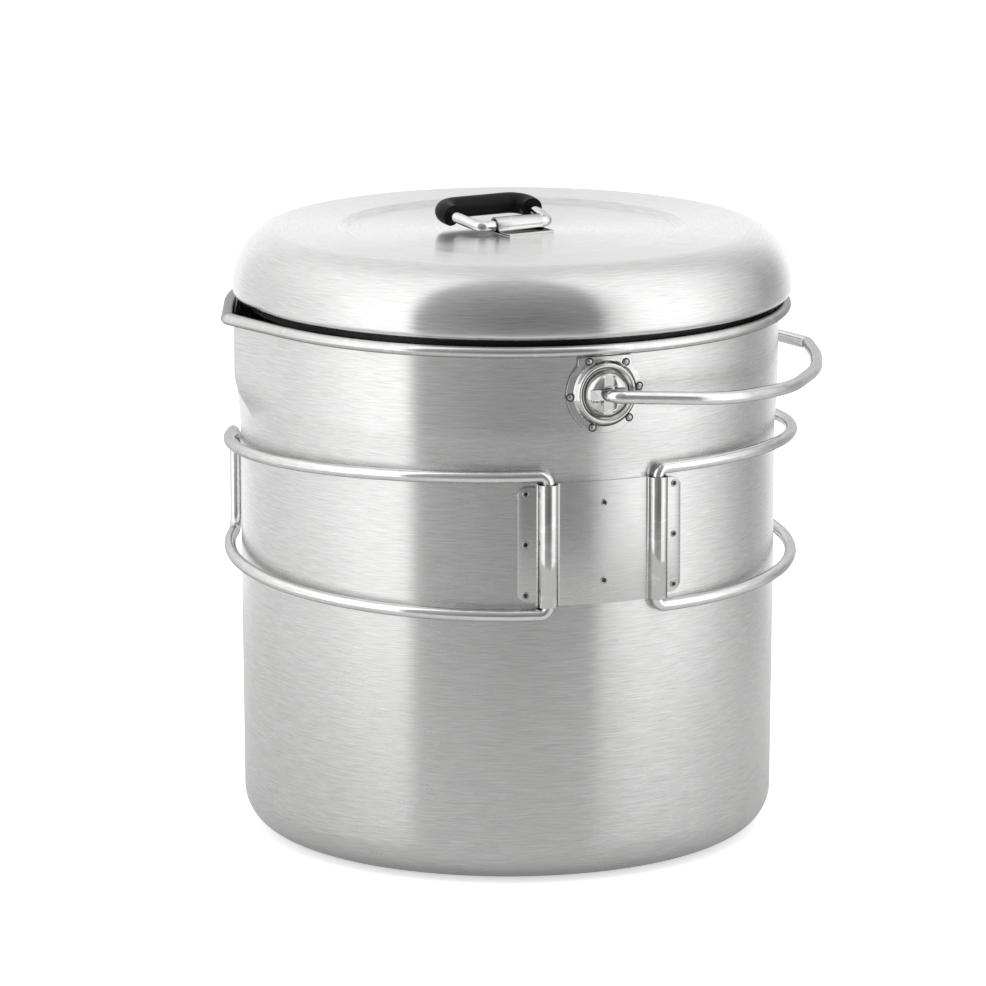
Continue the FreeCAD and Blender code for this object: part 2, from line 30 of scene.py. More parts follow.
MM = 0.001
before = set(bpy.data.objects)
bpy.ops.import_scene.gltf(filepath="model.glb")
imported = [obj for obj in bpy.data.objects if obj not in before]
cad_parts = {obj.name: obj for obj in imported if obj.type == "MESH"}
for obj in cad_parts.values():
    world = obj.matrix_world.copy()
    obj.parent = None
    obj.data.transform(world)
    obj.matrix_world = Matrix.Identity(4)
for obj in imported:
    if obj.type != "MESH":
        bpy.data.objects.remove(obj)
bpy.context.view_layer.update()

# -------- sizes of the pot
SHEET = 0.6
BASE_CORNER = 9.6
WALL_STATIONS = [(9.6, 67.0), (68.0, 67.4), (103.0, 67.4), (113.0, 68.13), (140.0, 68.13)]
WALL_R_BAND = 67.4
WALL_R_TOP = 68.13
RIM_Z = 134.0
RIM_CURL = 1.9
CURL_END = -115.0
RIM_SAG, RIM_FLATTEN = 0.4, 0.79           # the roll is pressed a little flat from above
SPOUT_DEG = -90.0
SPOUT_HALF_ANGLE = 19.4
SPOUT_TIP_R = 3.2
WALL_BLEND, SPOUT_BLEND, EAR_BLEND = 1.5, 1.6, 0.22     # how widely stations are rounded
SPOUT_STATIONS = [(109.0, 0.0), (111.6, 0.30), (114.6, 0.72), (118.6, 1.0), (140.0, 1.0)]

LID_PANEL_R, LID_STEP_RUN, LID_PANEL_STEP = 41.0, 2.6, 1.1
LID_TOP_Z, LID_FLAT_R, LID_MAX_R, LID_MAX_Z = 153.1, 59.1, 70.3, 138.0
LID_LIP_R, SKIRT_R, SKIRT_END_Z = 2.0, 66.1, 133.7
LID_CENTRE = Vector((1.03, -0.376, 0.0))    # the lid rests a little off the pot's axis
PANEL_Z = LID_TOP_Z - LID_PANEL_STEP

PIVOT_Z = 122.7
EAR_R, EAR_TOP, EAR_NECK_HALF = 9.8, 9.1, 7.0
EAR_HOLE_R, EAR_ROUND_R = 1.68, 7.9         # inside the second radius the pressing is round
EAR_RISE = [(1.68, 3.3), (2.5, 4.4), (3.6, 4.15), (4.6, 3.55), (5.3, 2.7), (5.8, 1.5), (6.05, 1.0),
            (6.2, 1.0), (6.55, 2.0), (7.3, 2.0), (8.1, 0.8), (13.0, 0.8)]
EAR_GROOVE_HALF, EAR_GROOVE_H, EAR_DOME_R = 1.35, 3.2, 5.7
EAR_WELD_RING = 8.95
EAR_WELD_ANGLES = [118, 54, 7, 314, 248, 184]
WELD_RING_SHARE = 1.12                      # a weld's pressed ring, in button radii

STRAP_SHEET = 0.8
STRAP_Z = (70.5, 100.9)
STRAP_FLANGE_Z = (71.3, 100.1)
STRAP_HALF_DEG, STRAP_CORNER = 18.3, 3.0
BARREL_DEG, BARREL_R, BARREL_AXIS_R = 11.9, 2.4, 69.0
BARREL_FOOT = 0.6
FLANGE_WELD_DEG, FLANGE_WELD_Z = 16.4, [73.2, 85.8, 98.4]
MIDDLE_WELD_Z = [76.2, 95.6]

HANDLE_WIRE, HANDLE_MID_Z = 3.0, 85.7
HANDLE_HALF_ROOT, HANDLE_HALF_END = 17.2, 13.1
HANDLE_BEND, HANDLE_FAR_BEND = 2.0, 4.5
HANDLE_REACH_DEG, HANDLE_END_R = 104.0, 70.1
HANDLE_END_GAP = 5.0
RIGHT_HANDLE_OPEN = 1.3

BAIL_WIRE, BAIL_REST = 3.2, 3.5
BAIL_PATH = [(0.0, 69.08), (0.0, 74.6), (28.5, 77.4), (51.0, 63.5), (68.5, 38.0), (77.2, 17.5), (82.2, 0.0)]
BAIL_BENDS = [3.0, 25.0, 50.0, 90.0, 120.0, 4.5, 120.0, 90.0, 50.0, 25.0, 3.0]
BAIL_HEAD_R, BAIL_HEAD_T, BAIL_HEAD_GAP = 2.4, 1.2, 0.35

CLIP_TURN, CLIP_LENGTH, CLIP_SIDE, CLIP_TAB_Y = 10.0, 12.8, -1.5, -12.6
CLIP_LAYER, CLIP_TAB_T, CLIP_BARREL_R, CLIP_FILLET = 0.54, 1.12, 2.15, 0.8
RING_WIRE, RING_AXIS_Y, RING_WIDTH, RING_SPREAD = 2.7, -5.0, 19.6, 2.8
RING_REST, RING_REACH, RING_CORNER, RING_ROOT_BEND = 7.6, 17.5, 4.5, 1.9
RING_SIDE_PLAY = -0.7
RING_AXIS_Z = PANEL_Z + CLIP_BARREL_R
SLEEVE_D, SLEEVE_LEG = 5.3, 1.2


# -------- small maths
def polar(radius, degrees, z=0.0):
    a = math.radians(degrees)
    return Vector((radius * math.sin(a), -radius * math.cos(a), z))


def sin_cos(degrees):
    a = math.radians(degrees)
    return math.sin(a), math.cos(a)


def between(stations, t):
    """The straight-line value at t of a list of (t, value) stations."""
    for (t0, v0), (t1, v1) in zip(stations, stations[1:]):
        if t <= t1:
            return v0 + (v1 - v0) * max(0.0, (t - t0) / (t1 - t0))
    return stations[-1][1]


def eased(stations, t, width):
    """The same, with its corners rounded over a width."""
    return sum(between(stations, t + width * k / 4) for k in (-3, -1, 1, 3)) / 4


def steps(start, end, count):
    return [start + (end - start) * i / count for i in range(count + 1)]


def arc_points(centre, start, axis, degrees, count):
    """Points on an arc that turns start about an axis through centre."""
    arm = start - centre
    return [centre + Matrix.Rotation(math.radians(t), 3, axis) @ arm for t in steps(0.0, degrees, count)]


def rounded_path(points, radii, count=10):
    """A path of straight runs whose corners are rounded with the given radii."""
    path = [points[0]]
    for i in range(1, len(points) - 1):
        corner, radius = points[i], radii[i - 1]
        back = (points[i - 1] - corner).normalized()
        ahead = (points[i + 1] - corner).normalized()
        half = back.angle(ahead) / 2
        centre = corner + (back + ahead).normalized() * (radius / math.sin(half))
        start = corner + back * (radius / math.tan(half))
        turn = 180.0 - math.degrees(2 * half)
        path += arc_points(centre, start, ahead.cross(back), turn, count)
    path.append(points[-1])
    return path


# -------- mesh helpers
SHARP_EDGE = math.radians(38)
FINISH_EDGE = 0.05                          # how far past an edge a second finish starts
BARREL_FINISH_EDGE = 0.25


def finish_mesh(mesh):
    """Merge doubles, point the faces outward, shade smooth and keep the real edges."""
    bm = bmesh.new()
    bm.from_mesh(mesh)
    bmesh.ops.remove_doubles(bm, verts=bm.verts, dist=1e-7)
    bmesh.ops.recalc_face_normals(bm, faces=bm.faces)
    for face in bm.faces:
        face.smooth = True
    for edge in bm.edges:
        edge.smooth = len(edge.link_faces) != 2 or edge.calc_face_angle(0.0) < SHARP_EDGE
    bm.to_mesh(mesh)
    bm.free()


def add_piece(name, points, faces, material, edges=()):
    mesh = bpy.data.meshes.new(name)
    mesh.from_pydata([tuple(p * MM) for p in points], list(edges), faces)
    mesh.materials.append(material)
    piece = bpy.data.objects.new(name, mesh)
    bpy.context.scene.collection.objects.link(piece)
    if faces:
        finish_mesh(mesh)
    return piece


def second_finish(piece, material, chosen):
    """Give the faces whose middles are chosen a second material."""
    piece.data.materials.append(material)
    for face in piece.data.polygons:
        if chosen(face.center):
            face.material_index = 1
    return piece


def skin(name, rings, material, ends="open"):
    """Join rings of points with faces. The ends are closed with caps, or looped."""
    points, faces, starts = [], [], []
    for ring in rings:
        starts.append(len(points))
        points += ring
    pairs = list(zip(range(len(rings)), range(1, len(rings))))
    if ends == "loop":
        pairs.append((len(rings) - 1, 0))
    for a, b in pairs:
        na, nb = len(rings[a]), len(rings[b])
        count = max(na, nb)
        for i in range(count):
            j = (i + 1) % count
            corners = [starts[a] + i % na, starts[a] + j % na, starts[b] + j % nb, starts[b] + i % nb]
            faces.append(tuple(dict.fromkeys(corners)))
    if ends == "caps":
        faces.append(tuple(range(starts[0], starts[0] + len(rings[0]))))
        faces.append(tuple(range(starts[-1], starts[-1] + len(rings[-1]))))
    return add_piece(name, points, faces, material)


def turned_skin(name, profile, material, count, centre):
    """Turn a closed (radius, z) profile about an upright axis through centre."""
    rings = []
    for radius, z in profile:
        if radius < 1e-6:
            rings.append([centre + Vector((0, 0, z))])
        else:
            rings.append([centre + polar(radius, 360.0 * i / count, z) for i in range(count)])
    return skin(name, rings, material)


def strip(name, stations, across, thickness, edge, material):
    """A bent strip of sheet. A station is (outer point, outward normal, low end, high end)."""
    rings = []
    for point, normal, low, high in stations:
        ring = []
        spots = [(0.0, low + edge), (0.0, high - edge), (edge * 0.3, high - edge * 0.3), (edge, high),
                 (thickness - edge, high), (thickness - edge * 0.3, high - edge * 0.3),
                 (thickness, high - edge), (thickness, low + edge),
                 (thickness - edge * 0.3, low + edge * 0.3), (thickness - edge, low),
                 (edge, low), (edge * 0.3, low + edge * 0.3)]
        for depth, side in spots:
            ring.append(point - normal * depth + across * side)
        rings.append(ring)
    return skin(name, rings, material, "caps")


def path_normals(path, across):
    """Sideways normals of a flat path, in the plane square to across."""
    normals = []
    for i in range(len(path)):
        ahead = path[min(i + 1, len(path) - 1)] - path[max(i - 1, 0)]
        normals.append(ahead.cross(across).normalized())
    return normals


# -------- geometry node trees
def new_group(kind, name, inputs, outputs):
    """A node group, with the sockets that it is given and those that it fills.

    Inputs are (name, type, value) and outputs are (name, type)."""
    tree = bpy.data.node_groups.new(name, kind)
    for label, form, value in inputs:
        socket = tree.interface.new_socket(label, in_out="INPUT", socket_type="NodeSocket" + form)
        if value is not None:
            socket.default_value = value
    for label, form in outputs:
        tree.interface.new_socket(label, in_out="OUTPUT", socket_type="NodeSocket" + form)
    return tree, tree.nodes.new("NodeGroupInput").outputs, tree.nodes.new("NodeGroupOutput").inputs


def geometry_group(name, inputs):
    shape = ("Geometry", "Geometry")
    return new_group("GeometryNodeTree", name, [shape + (None,)] + inputs, [shape])


def feed(tree, made, values):
    """Fill a node's inputs, by name or number, with plain values or sockets to link."""
    for key, value in values.items():
        if isinstance(value, bpy.types.NodeSocket):
            tree.links.new(value, made.inputs[key])
        else:
            made.inputs[key].default_value = value


def node(tree, kind, values=None, **settings):
    """Add a node, with its settings and inputs."""
    made = tree.nodes.new(kind)
    for key, value in settings.items():
        setattr(made, key, value)
    feed(tree, made, values or {})
    return made


def maths(tree, kind, *values):
    """The result of a maths node."""
    return node(tree, "ShaderNodeMath", dict(enumerate(values)), operation=kind).outputs[0]


def vector_maths(tree, kind, *values):
    """The outputs of a vector maths node."""
    return node(tree, "ShaderNodeVectorMath", dict(enumerate(values)), operation=kind).outputs


def painted(tree, geometry, material):
    made = node(tree, "GeometryNodeSetMaterial", {"Geometry": geometry, "Material": material})
    return made.outputs["Geometry"]


def stored(tree, geometry, name, value):
    """Keep a number at each point, under a name that a finish can read."""
    made = node(tree, "GeometryNodeStoreNamedAttribute", {
        "Geometry": geometry, "Name": name, "Value": value}, data_type="FLOAT", domain="POINT")
    return made.outputs["Geometry"]


def run_tree(piece, tree, values):
    """Run a tree on a piece and keep the result as a plain mesh."""
    modifier = piece.modifiers.new(tree.name, "NODES")
    modifier.node_group = tree
    for item in tree.interface.items_tree:
        if item.item_type == "SOCKET" and item.in_out == "INPUT" and item.name in values:
            modifier[item.identifier] = values[item.name]
    graph = bpy.context.evaluated_depsgraph_get()
    mesh = bpy.data.meshes.new_from_object(piece.evaluated_get(graph), depsgraph=graph)
    piece.modifiers.clear()
    piece.data = mesh
    mesh.name = piece.name
    return piece


def make_wire_tree():
    """A round wire along a path, with where it is along and round the wire kept for its finish."""
    tree, source, target = geometry_group("bent_wire", [
        ("Wire Diameter", "Float", 0.003), ("Sides", "Int", 28),
        ("Finish", "Material", None)])
    half = maths(tree, "MULTIPLY", source["Wire Diameter"], 0.5)
    path = node(tree, "GeometryNodeMeshToCurve", {"Mesh": source["Geometry"]})
    reach = node(tree, "GeometryNodeSplineParameter")
    path = stored(tree, path.outputs["Curve"], "along", reach.outputs["Length"])
    circle = node(tree, "GeometryNodeCurvePrimitiveCircle", {
        "Resolution": source["Sides"], "Radius": half}, mode="RADIUS")
    turn = node(tree, "GeometryNodeSplineParameter")
    circle = stored(tree, circle.outputs["Curve"], "around", turn.outputs["Factor"])
    tube = node(tree, "GeometryNodeCurveToMesh", {"Curve": path, "Profile Curve": circle, "Fill Caps": True})
    smooth = node(tree, "GeometryNodeSetShadeSmooth", {"Geometry": tube.outputs["Mesh"]})
    real = node(tree, "GeometryNodeRealizeInstances", {"Geometry": smooth.outputs["Geometry"]})
    done = painted(tree, real.outputs["Geometry"], source["Finish"])
    tree.links.new(done, target["Geometry"])
    return tree


def make_weld_tree():
    """Resistance-weld marks: a low button with a pressed ring round it, one at each point."""
    tree, source, target = geometry_group("weld_marks", [
        ("Button Radius", "Float", 0.0008), ("Button Height", "Float", 0.0003),
        ("Ring Wire", "Float", 0.00015), ("Button Finish", "Material", None),
        ("Ring Finish", "Material", None)])
    ball = node(tree, "GeometryNodeMeshUVSphere", {"Segments": 20, "Rings": 10, "Radius": 1.0})
    size = node(tree, "ShaderNodeCombineXYZ", {
        "X": source["Button Radius"], "Y": source["Button Radius"],
        "Z": source["Button Height"]})
    ball = node(tree, "GeometryNodeTransform", {"Geometry": ball.outputs["Mesh"], "Scale": size.outputs[0]})
    ball = painted(tree, ball.outputs["Geometry"], source["Button Finish"])
    wide = maths(tree, "MULTIPLY", source["Button Radius"], WELD_RING_SHARE)
    loop = node(tree, "GeometryNodeCurvePrimitiveCircle", {"Resolution": 24, "Radius": wide})
    section = node(tree, "GeometryNodeCurvePrimitiveCircle", {
        "Resolution": 8, "Radius": source["Ring Wire"]})
    ring = node(tree, "GeometryNodeCurveToMesh", {
        "Curve": loop.outputs["Curve"], "Profile Curve": section.outputs["Curve"]})
    ring = painted(tree, ring.outputs["Mesh"], source["Ring Finish"])
    both = node(tree, "GeometryNodeJoinGeometry")
    for part in (ball, ring):
        tree.links.new(part, both.inputs[0])
    outward = node(tree, "GeometryNodeInputNamedAttribute", {"Name": "outward"}, data_type="FLOAT_VECTOR")
    aim = node(tree, "FunctionNodeAlignRotationToVector", {"Vector": outward.outputs[0]}, axis="Z")
    spots = node(tree, "GeometryNodeMeshToPoints", {"Mesh": source["Geometry"]})
    placed = node(tree, "GeometryNodeInstanceOnPoints", {
        "Points": spots.outputs["Points"], "Instance": both.outputs[0], "Rotation": aim.outputs[0]})
    real = node(tree, "GeometryNodeRealizeInstances", {"Geometry": placed.outputs["Instances"]})
    done = node(tree, "GeometryNodeSetShadeSmooth", {"Geometry": real.outputs["Geometry"]})
    tree.links.new(done.outputs["Geometry"], target["Geometry"])
    return tree


# -------- finishes
def shader_group(name, inputs, outputs):
    """A group for finishes: an input with no value is a vector, and the rest are numbers."""
    typed = [(label, "Vector" if value is None else "Float", value) for label, value in inputs]
    return new_group("ShaderNodeTree", name, typed, [(label, "Float") for label in outputs])


def make_spun_grain():
    """Fine lines that run round the pot's axis, as turning and belt brushing leave them.

    Lean is +1 where the sheet turns from wall to base, and -1 from lid top to lid side.
    Widest is the radius from which only the height counts, so the spout's lines stay level."""
    tree, source, target = shader_group("spun_grain", [
        ("Place", None), ("Lean", 1.0), ("Widest", 0.067), ("Lines", 8200.0), ("Reach", 190.0)],
        ["Grain", "Streaks"])
    parts = node(tree, "ShaderNodeSeparateXYZ", {0: source["Place"]})
    flat = node(tree, "ShaderNodeCombineXYZ", {"X": parts.outputs["X"], "Y": parts.outputs["Y"]})
    radius = vector_maths(tree, "LENGTH", flat.outputs[0])["Value"]
    held = maths(tree, "MINIMUM", radius, source["Widest"])
    leaned = maths(tree, "MULTIPLY_ADD", held, source["Lean"], parts.outputs["Z"])
    reach = node(tree, "ShaderNodeVectorMath", {
        0: flat.outputs[0], "Scale": source["Reach"]}, operation="SCALE")
    reach_parts = node(tree, "ShaderNodeSeparateXYZ", {0: reach.outputs[0]})
    for label, fineness in (("Grain", 1.0), ("Streaks", 0.45)):
        lines = maths(tree, "MULTIPLY", source["Lines"], fineness)
        spot = node(tree, "ShaderNodeCombineXYZ", {
            "X": reach_parts.outputs["X"], "Y": reach_parts.outputs["Y"],
            "Z": maths(tree, "MULTIPLY", leaned, lines)})
        noise = node(tree, "ShaderNodeTexNoise", {
            "Vector": spot.outputs[0], "Scale": 1.0, "Detail": 2.0, "Roughness": 0.6})
        tree.links.new(noise.outputs[0], target[label])
    return tree


def make_handling_marks():
    """Soft smudges and a few short rubbed marks from handling."""
    tree, source, target = shader_group(
        "handling_marks", [("Place", None), ("Patch Scale", 38.0), ("Mark Scale", 420.0)],
        ["Smudge", "Rubs"])
    cloud = node(tree, "ShaderNodeTexNoise", {
        "Vector": source["Place"], "Scale": source["Patch Scale"], "Detail": 3.0,
        "Distortion": 0.6})
    smudge = node(tree, "ShaderNodeMapRange", {
        "Value": cloud.outputs[0], "From Min": 0.46, "From Max": 0.74})
    stretched = vector_maths(tree, "MULTIPLY", source["Place"], (0.25, 0.25, 2.6))[0]
    specks = node(tree, "ShaderNodeTexNoise", {
        "Vector": stretched, "Scale": source["Mark Scale"], "Detail": 1.0})
    rubs = node(tree, "ShaderNodeMapRange", {
        "Value": specks.outputs[0], "From Min": 0.66, "From Max": 0.80})
    tree.links.new(smudge.outputs[0], target["Smudge"])
    tree.links.new(rubs.outputs[0], target["Rubs"])
    return tree


def make_drawn_lines():
    """Die lines along a drawn wire, from where a point is along and round the wire."""
    tree, source, target = shader_group(
        "drawn_lines", [("Along", 0.0), ("Around", 0.0), ("Lines", 9.0), ("Stretch", 120.0)],
        ["Lines", "Mottle"])
    turn = maths(tree, "MULTIPLY", source["Around"], 2 * math.pi)
    spot = node(tree, "ShaderNodeCombineXYZ", {
        "X": maths(tree, "COSINE", turn), "Y": maths(tree, "SINE", turn),
        "Z": maths(tree, "MULTIPLY", source["Along"], source["Stretch"])})
    lines = node(tree, "ShaderNodeTexNoise", {
        "Vector": spot.outputs[0], "Scale": source["Lines"], "Detail": 1.0})
    mottle = node(tree, "ShaderNodeTexNoise", {
        "Vector": spot.outputs[0], "Scale": 2.3, "Detail": 3.0})
    tree.links.new(lines.outputs[0], target["Lines"])
    tree.links.new(mottle.outputs[0], target["Mottle"])
    return tree


def start_material(name, values):
    """A new material, with plain values on its shader's inputs."""
    material = bpy.data.materials.new(name)
    material.use_nodes = True
    tree = material.node_tree
    tree.nodes.clear()
    output = tree.nodes.new("ShaderNodeOutputMaterial")
    shader = tree.nodes.new("ShaderNodeBsdfPrincipled")
    tree.links.new(shader.outputs[0], output.inputs[0])
    feed(tree, shader, values)
    return material, tree, shader


def placed_group(tree, group, values):
    return node(tree, "ShaderNodeGroup", values, node_tree=group)


def object_place(tree):
    return node(tree, "ShaderNodeTexCoord").outputs["Object"]


def handling(tree, place, patch, mark):
    """The smudges and rubs, at a patch scale and a mark scale."""
    return placed_group(tree, HANDLING_MARKS, {"Place": place, "Patch Scale": patch, "Mark Scale": mark}).outputs


def spread(tree, value, low, high):
    """Turn a 0 to 1 mask into a range of numbers."""
    made = node(tree, "ShaderNodeMapRange", {"Value": value, "To Min": low, "To Max": high})
    return made.outputs[0]


def grey_range(tree, value, low, high):
    """Turn a mask into a colour between two greys of steel, the darker slightly warmer."""
    ramp = node(tree, "ShaderNodeValToRGB", {0: value})
    dark, bright = ramp.color_ramp.elements
    dark.color, dark.position = (low, low * 0.995, low * 0.985, 1.0), 0.32
    bright.color, bright.position = (high, high, high, 1.0), 0.68
    return ramp.outputs[0]


def tint(level):
    return (level, level, level, 1.0)


def bumped(tree, height, strength, distance):
    bump = node(tree, "ShaderNodeBump", {"Height": height, "Strength": strength, "Distance": distance})
    return bump.outputs[0]


def spun_steel(name, lean, greys, roughness, grain_depth, centre):
    """Satin stainless steel, brushed round an upright axis through centre."""
    material, tree, shader = start_material(name, {
        "Metallic": 1.0, "Anisotropic": 0.9, "Anisotropic Rotation": 0.25})
    place = vector_maths(tree, "SUBTRACT", object_place(tree), centre * MM)[0]
    widest = WALL_STATIONS[0][1] * MM if lean > 0 else 1.0
    grain = placed_group(tree, SPUN_GRAIN, {"Place": place, "Lean": lean, "Widest": widest})
    marks = handling(tree, place, 38.0, 420.0)
    tone = node(tree, "ShaderNodeMix", {0: 0.45, 2: grain.outputs["Grain"], 3: grain.outputs["Streaks"]})
    tone = tone.outputs[0]
    rough = spread(tree, tone, roughness - 0.04, roughness + 0.04)
    rough = maths(tree, "ADD", rough, spread(tree, marks["Smudge"], 0.0, 0.035))
    rough = maths(tree, "ADD", rough, spread(tree, marks["Rubs"], 0.0, 0.06))
    round_axis = vector_maths(tree, "CROSS_PRODUCT", (0.0, 0.0, 1.0), place)[0]
    feed(tree, shader, {
        "Base Color": grey_range(tree, tone, *greys), "Roughness": rough,
        "Tangent": vector_maths(tree, "NORMALIZE", round_axis)[0],
        "Normal": bumped(tree, tone, 0.25, grain_depth)})
    return material


def pressed_steel(name, greys, roughness, edge_shade_tint, ripple):
    """Bright steel off the press: nearly polished, with a slight ripple, and a dark edge tint that paints shade
    into the grazing reflections at its edges.
    """
    material, tree, shader = start_material(name, {"Metallic": 1.0, "Specular Tint": tint(edge_shade_tint)})
    marks = handling(tree, object_place(tree), 260.0, 900.0)
    rough = spread(tree, marks["Smudge"], roughness, roughness + 0.04)
    feed(tree, shader, {
        "Base Color": grey_range(tree, marks["Smudge"], *greys),
        "Roughness": maths(tree, "ADD", rough, spread(tree, marks["Rubs"], 0.0, 0.04)),
        "Normal": bumped(tree, marks["Smudge"], ripple, 0.0001)})
    return material


def drawn_steel(name):
    """Polished drawn wire with faint die lines."""
    material, tree, shader = start_material(name, {"Metallic": 1.0, "Specular Tint": tint(0.55)})
    along = node(tree, "ShaderNodeAttribute", attribute_name="along").outputs["Fac"]
    around = node(tree, "ShaderNodeAttribute", attribute_name="around").outputs["Fac"]
    wire = placed_group(tree, DRAWN_LINES, {"Along": along, "Around": around})
    feed(tree, shader, {
        "Base Color": grey_range(tree, wire.outputs["Mottle"], 0.74, 0.86),
        "Roughness": spread(tree, wire.outputs["Lines"], 0.04, 0.11),
        "Normal": bumped(tree, wire.outputs["Lines"], 0.10, 0.00008)})
    return material


def burnt_steel(name, greys, roughness):
    """The oxide of a weld mark."""
    material, tree, shader = start_material(name, {"Metallic": 1.0})
    marks = handling(tree, object_place(tree), 1400.0, 2600.0)
    feed(tree, shader, {
        "Base Color": grey_range(tree, marks["Smudge"], *greys),
        "Roughness": spread(tree, marks["Smudge"], roughness, roughness + 0.15),
        "Normal": bumped(tree, marks["Smudge"], 0.3, 0.0001)})
    return material


def black_rubber():
    """Matt silicone tube, with a fine moulded texture and some dust."""
    material, tree, shader = start_material("black_rubber", {"Specular IOR Level": 0.2})
    place = object_place(tree)
    marks = handling(tree, place, 300.0, 1500.0)
    moulded = node(tree, "ShaderNodeTexNoise", {"Vector": place, "Scale": 2600.0, "Detail": 2.0})
    feed(tree, shader, {
        "Base Color": grey_range(tree, marks["Smudge"], 0.003, 0.006),
        "Roughness": spread(tree, marks["Smudge"], 0.50, 0.62),
        "Normal": bumped(tree, moulded.outputs[0], 0.25, 0.00006)})
    return material


# -------- the pot body
def spout_share(z):
    return eased(SPOUT_STATIONS, z, SPOUT_BLEND)


def wall_radius(z):
    return eased(WALL_STATIONS, z, WALL_BLEND)


def spout_angles():
    """Angles round the pot from the spout, close together where the spout is."""
    fine = steps(0.0, 6.0, 24) + steps(6.5, 26.0, 39) + steps(28.0, 180.0, 76)
    return [-a for a in reversed(fine[1:-1])] + fine


def plan_point(a_deg, round_r, share):
    """A point and its outward normal on the pot's plan outline, at an angle from the spout."""
    tip_r = SPOUT_TIP_R + WALL_R_TOP - RIM_R
    full = (RIM_R - SPOUT_TIP_R) / math.cos(math.radians(SPOUT_HALF_ANGLE))
    centre = round_r + share * (full + SPOUT_TIP_R - RIM_R) - tip_r
    half = math.acos(min(1.0, (round_r - tip_r) / centre))
    a = abs(math.radians(a_deg))
    side = 1.0 if a_deg >= 0 else -1.0
    tangent_a = math.atan2(tip_r * math.sin(half), centre + tip_r * math.cos(half))
    if a >= half:
        radius, normal = round_r, a
    elif a >= tangent_a:
        radius, normal = round_r / math.cos(half - a), half
    else:
        radius = centre * math.cos(a) + math.sqrt(tip_r ** 2 - (centre * math.sin(a)) ** 2)
        normal = math.atan2(radius * math.sin(a), radius * math.cos(a) - centre)
    point = polar(radius, SPOUT_DEG + side * math.degrees(a))
    return point, polar(1.0, SPOUT_DEG + side * math.degrees(normal))


RIM_R = WALL_R_TOP - SHEET + RIM_CURL


def make_pot_body(material, rim_material):
    """The drawn pot: base, wall, pouring spout and rolled rim as one closed sheet."""
    angles = spout_angles()
    corner_r = WALL_STATIONS[0][1] - BASE_CORNER

    def round_ring(radius, z):
        return [polar(radius, SPOUT_DEG + a, z) for a in angles]

    def wall_ring(z, inset):
        ring = []
        for a in angles:
            point, normal = plan_point(a, wall_radius(z), spout_share(z))
            point = point - normal * inset
            ring.append(Vector((point.x, point.y, z)))
        return ring

    def roll_ring(rho, turn):
        t = math.radians(turn)
        out, up = RIM_CURL - SHEET + rho * math.cos(t), rho * math.sin(t) * RIM_FLATTEN - RIM_SAG
        ring = []
        for a in angles:
            point, normal = plan_point(a, WALL_R_TOP, 1.0)
            point = point + normal * out
            ring.append(Vector((point.x, point.y, RIM_Z + up)))
        return ring

    def half_shell(inset):
        rings = [[Vector((0, 0, inset))], round_ring(15, inset), round_ring(40, inset)]
        bend = BASE_CORNER - inset
        for t in steps(0.0, 90.0, 14):
            s, c = sin_cos(t)
            rings.append(round_ring(corner_r + bend * s, BASE_CORNER - bend * c))
        heights = steps(14, 62, 4) + steps(65, 71, 4) + [86] + steps(100, 120, 40) + [124, 129, RIM_Z - RIM_SAG]
        return rings + [wall_ring(z, inset) for z in heights]

    rings = half_shell(0.0)
    rings += [roll_ring(RIM_CURL - SHEET, t) for t in steps(170.0, CURL_END, 24)]
    rings += [roll_ring(RIM_CURL, t) for t in steps(CURL_END, 170.0, 36)]
    rings += list(reversed(half_shell(SHEET)))
    pot = skin("pot_body_steel", rings, material)
    return second_finish(pot, rim_material, lambda p: p.z > (RIM_Z - RIM_CURL - FINISH_EDGE) * MM)


# -------- the lid
def lid_profile():
    """The lid's closed section: top, shoulder, turned-in lip, skirt and the inside again."""
    def side(inset):
        corners = [Vector((0, 0, PANEL_Z - inset)), Vector((LID_PANEL_R, 0, PANEL_Z - inset)),
                   Vector((LID_PANEL_R + LID_STEP_RUN, 0, LID_TOP_Z - inset)),
                   Vector((LID_FLAT_R, 0, LID_TOP_Z - inset))]
        line = [(p.x, p.z) for p in rounded_path(corners, [1.1, 1.3], 6)]
        line[1:1] = [(r, PANEL_Z - inset) for r in (12.0, 26.0)]
        wide, tall = LID_MAX_R - LID_FLAT_R - inset, LID_TOP_Z - LID_MAX_Z - inset
        for t in steps(0.0, 90.0, 30)[1:]:
            s, c = sin_cos(t)
            line.append((LID_FLAT_R + wide * s, LID_MAX_Z + tall * c))
        lip = LID_LIP_R - inset
        for t in steps(0.0, 90.0, 10)[1:]:
            s, c = sin_cos(t)
            line.append((LID_MAX_R - LID_LIP_R + lip * c, LID_MAX_Z - lip * s))
        return line

    lip_z = LID_MAX_Z - LID_LIP_R
    edge = 0.12
    tail = [(SKIRT_R + 0.3, lip_z), (SKIRT_R + 0.08, lip_z - 0.1), (SKIRT_R, lip_z - 0.35),
            (SKIRT_R, SKIRT_END_Z + edge), (SKIRT_R - edge, SKIRT_END_Z),
            (SKIRT_R - SHEET + edge, SKIRT_END_Z), (SKIRT_R - SHEET, SKIRT_END_Z + edge),
            (SKIRT_R - SHEET, lip_z + SHEET)]
    return side(0.0) + tail + list(reversed(side(SHEET)))


def make_lid(material, skirt_shade_material):
    """The lid, with the skirt that plugs the pot in near-black steel: painted shade for the dark gap under the
    lid's lip.
    """
    lid = turned_skin("lid_spun_shell", lid_profile(), material, 288, LID_CENTRE)
    return second_finish(lid, skirt_shade_material, lambda p: p.z < (LID_MAX_Z - LID_LIP_R + FINISH_EDGE) * MM)


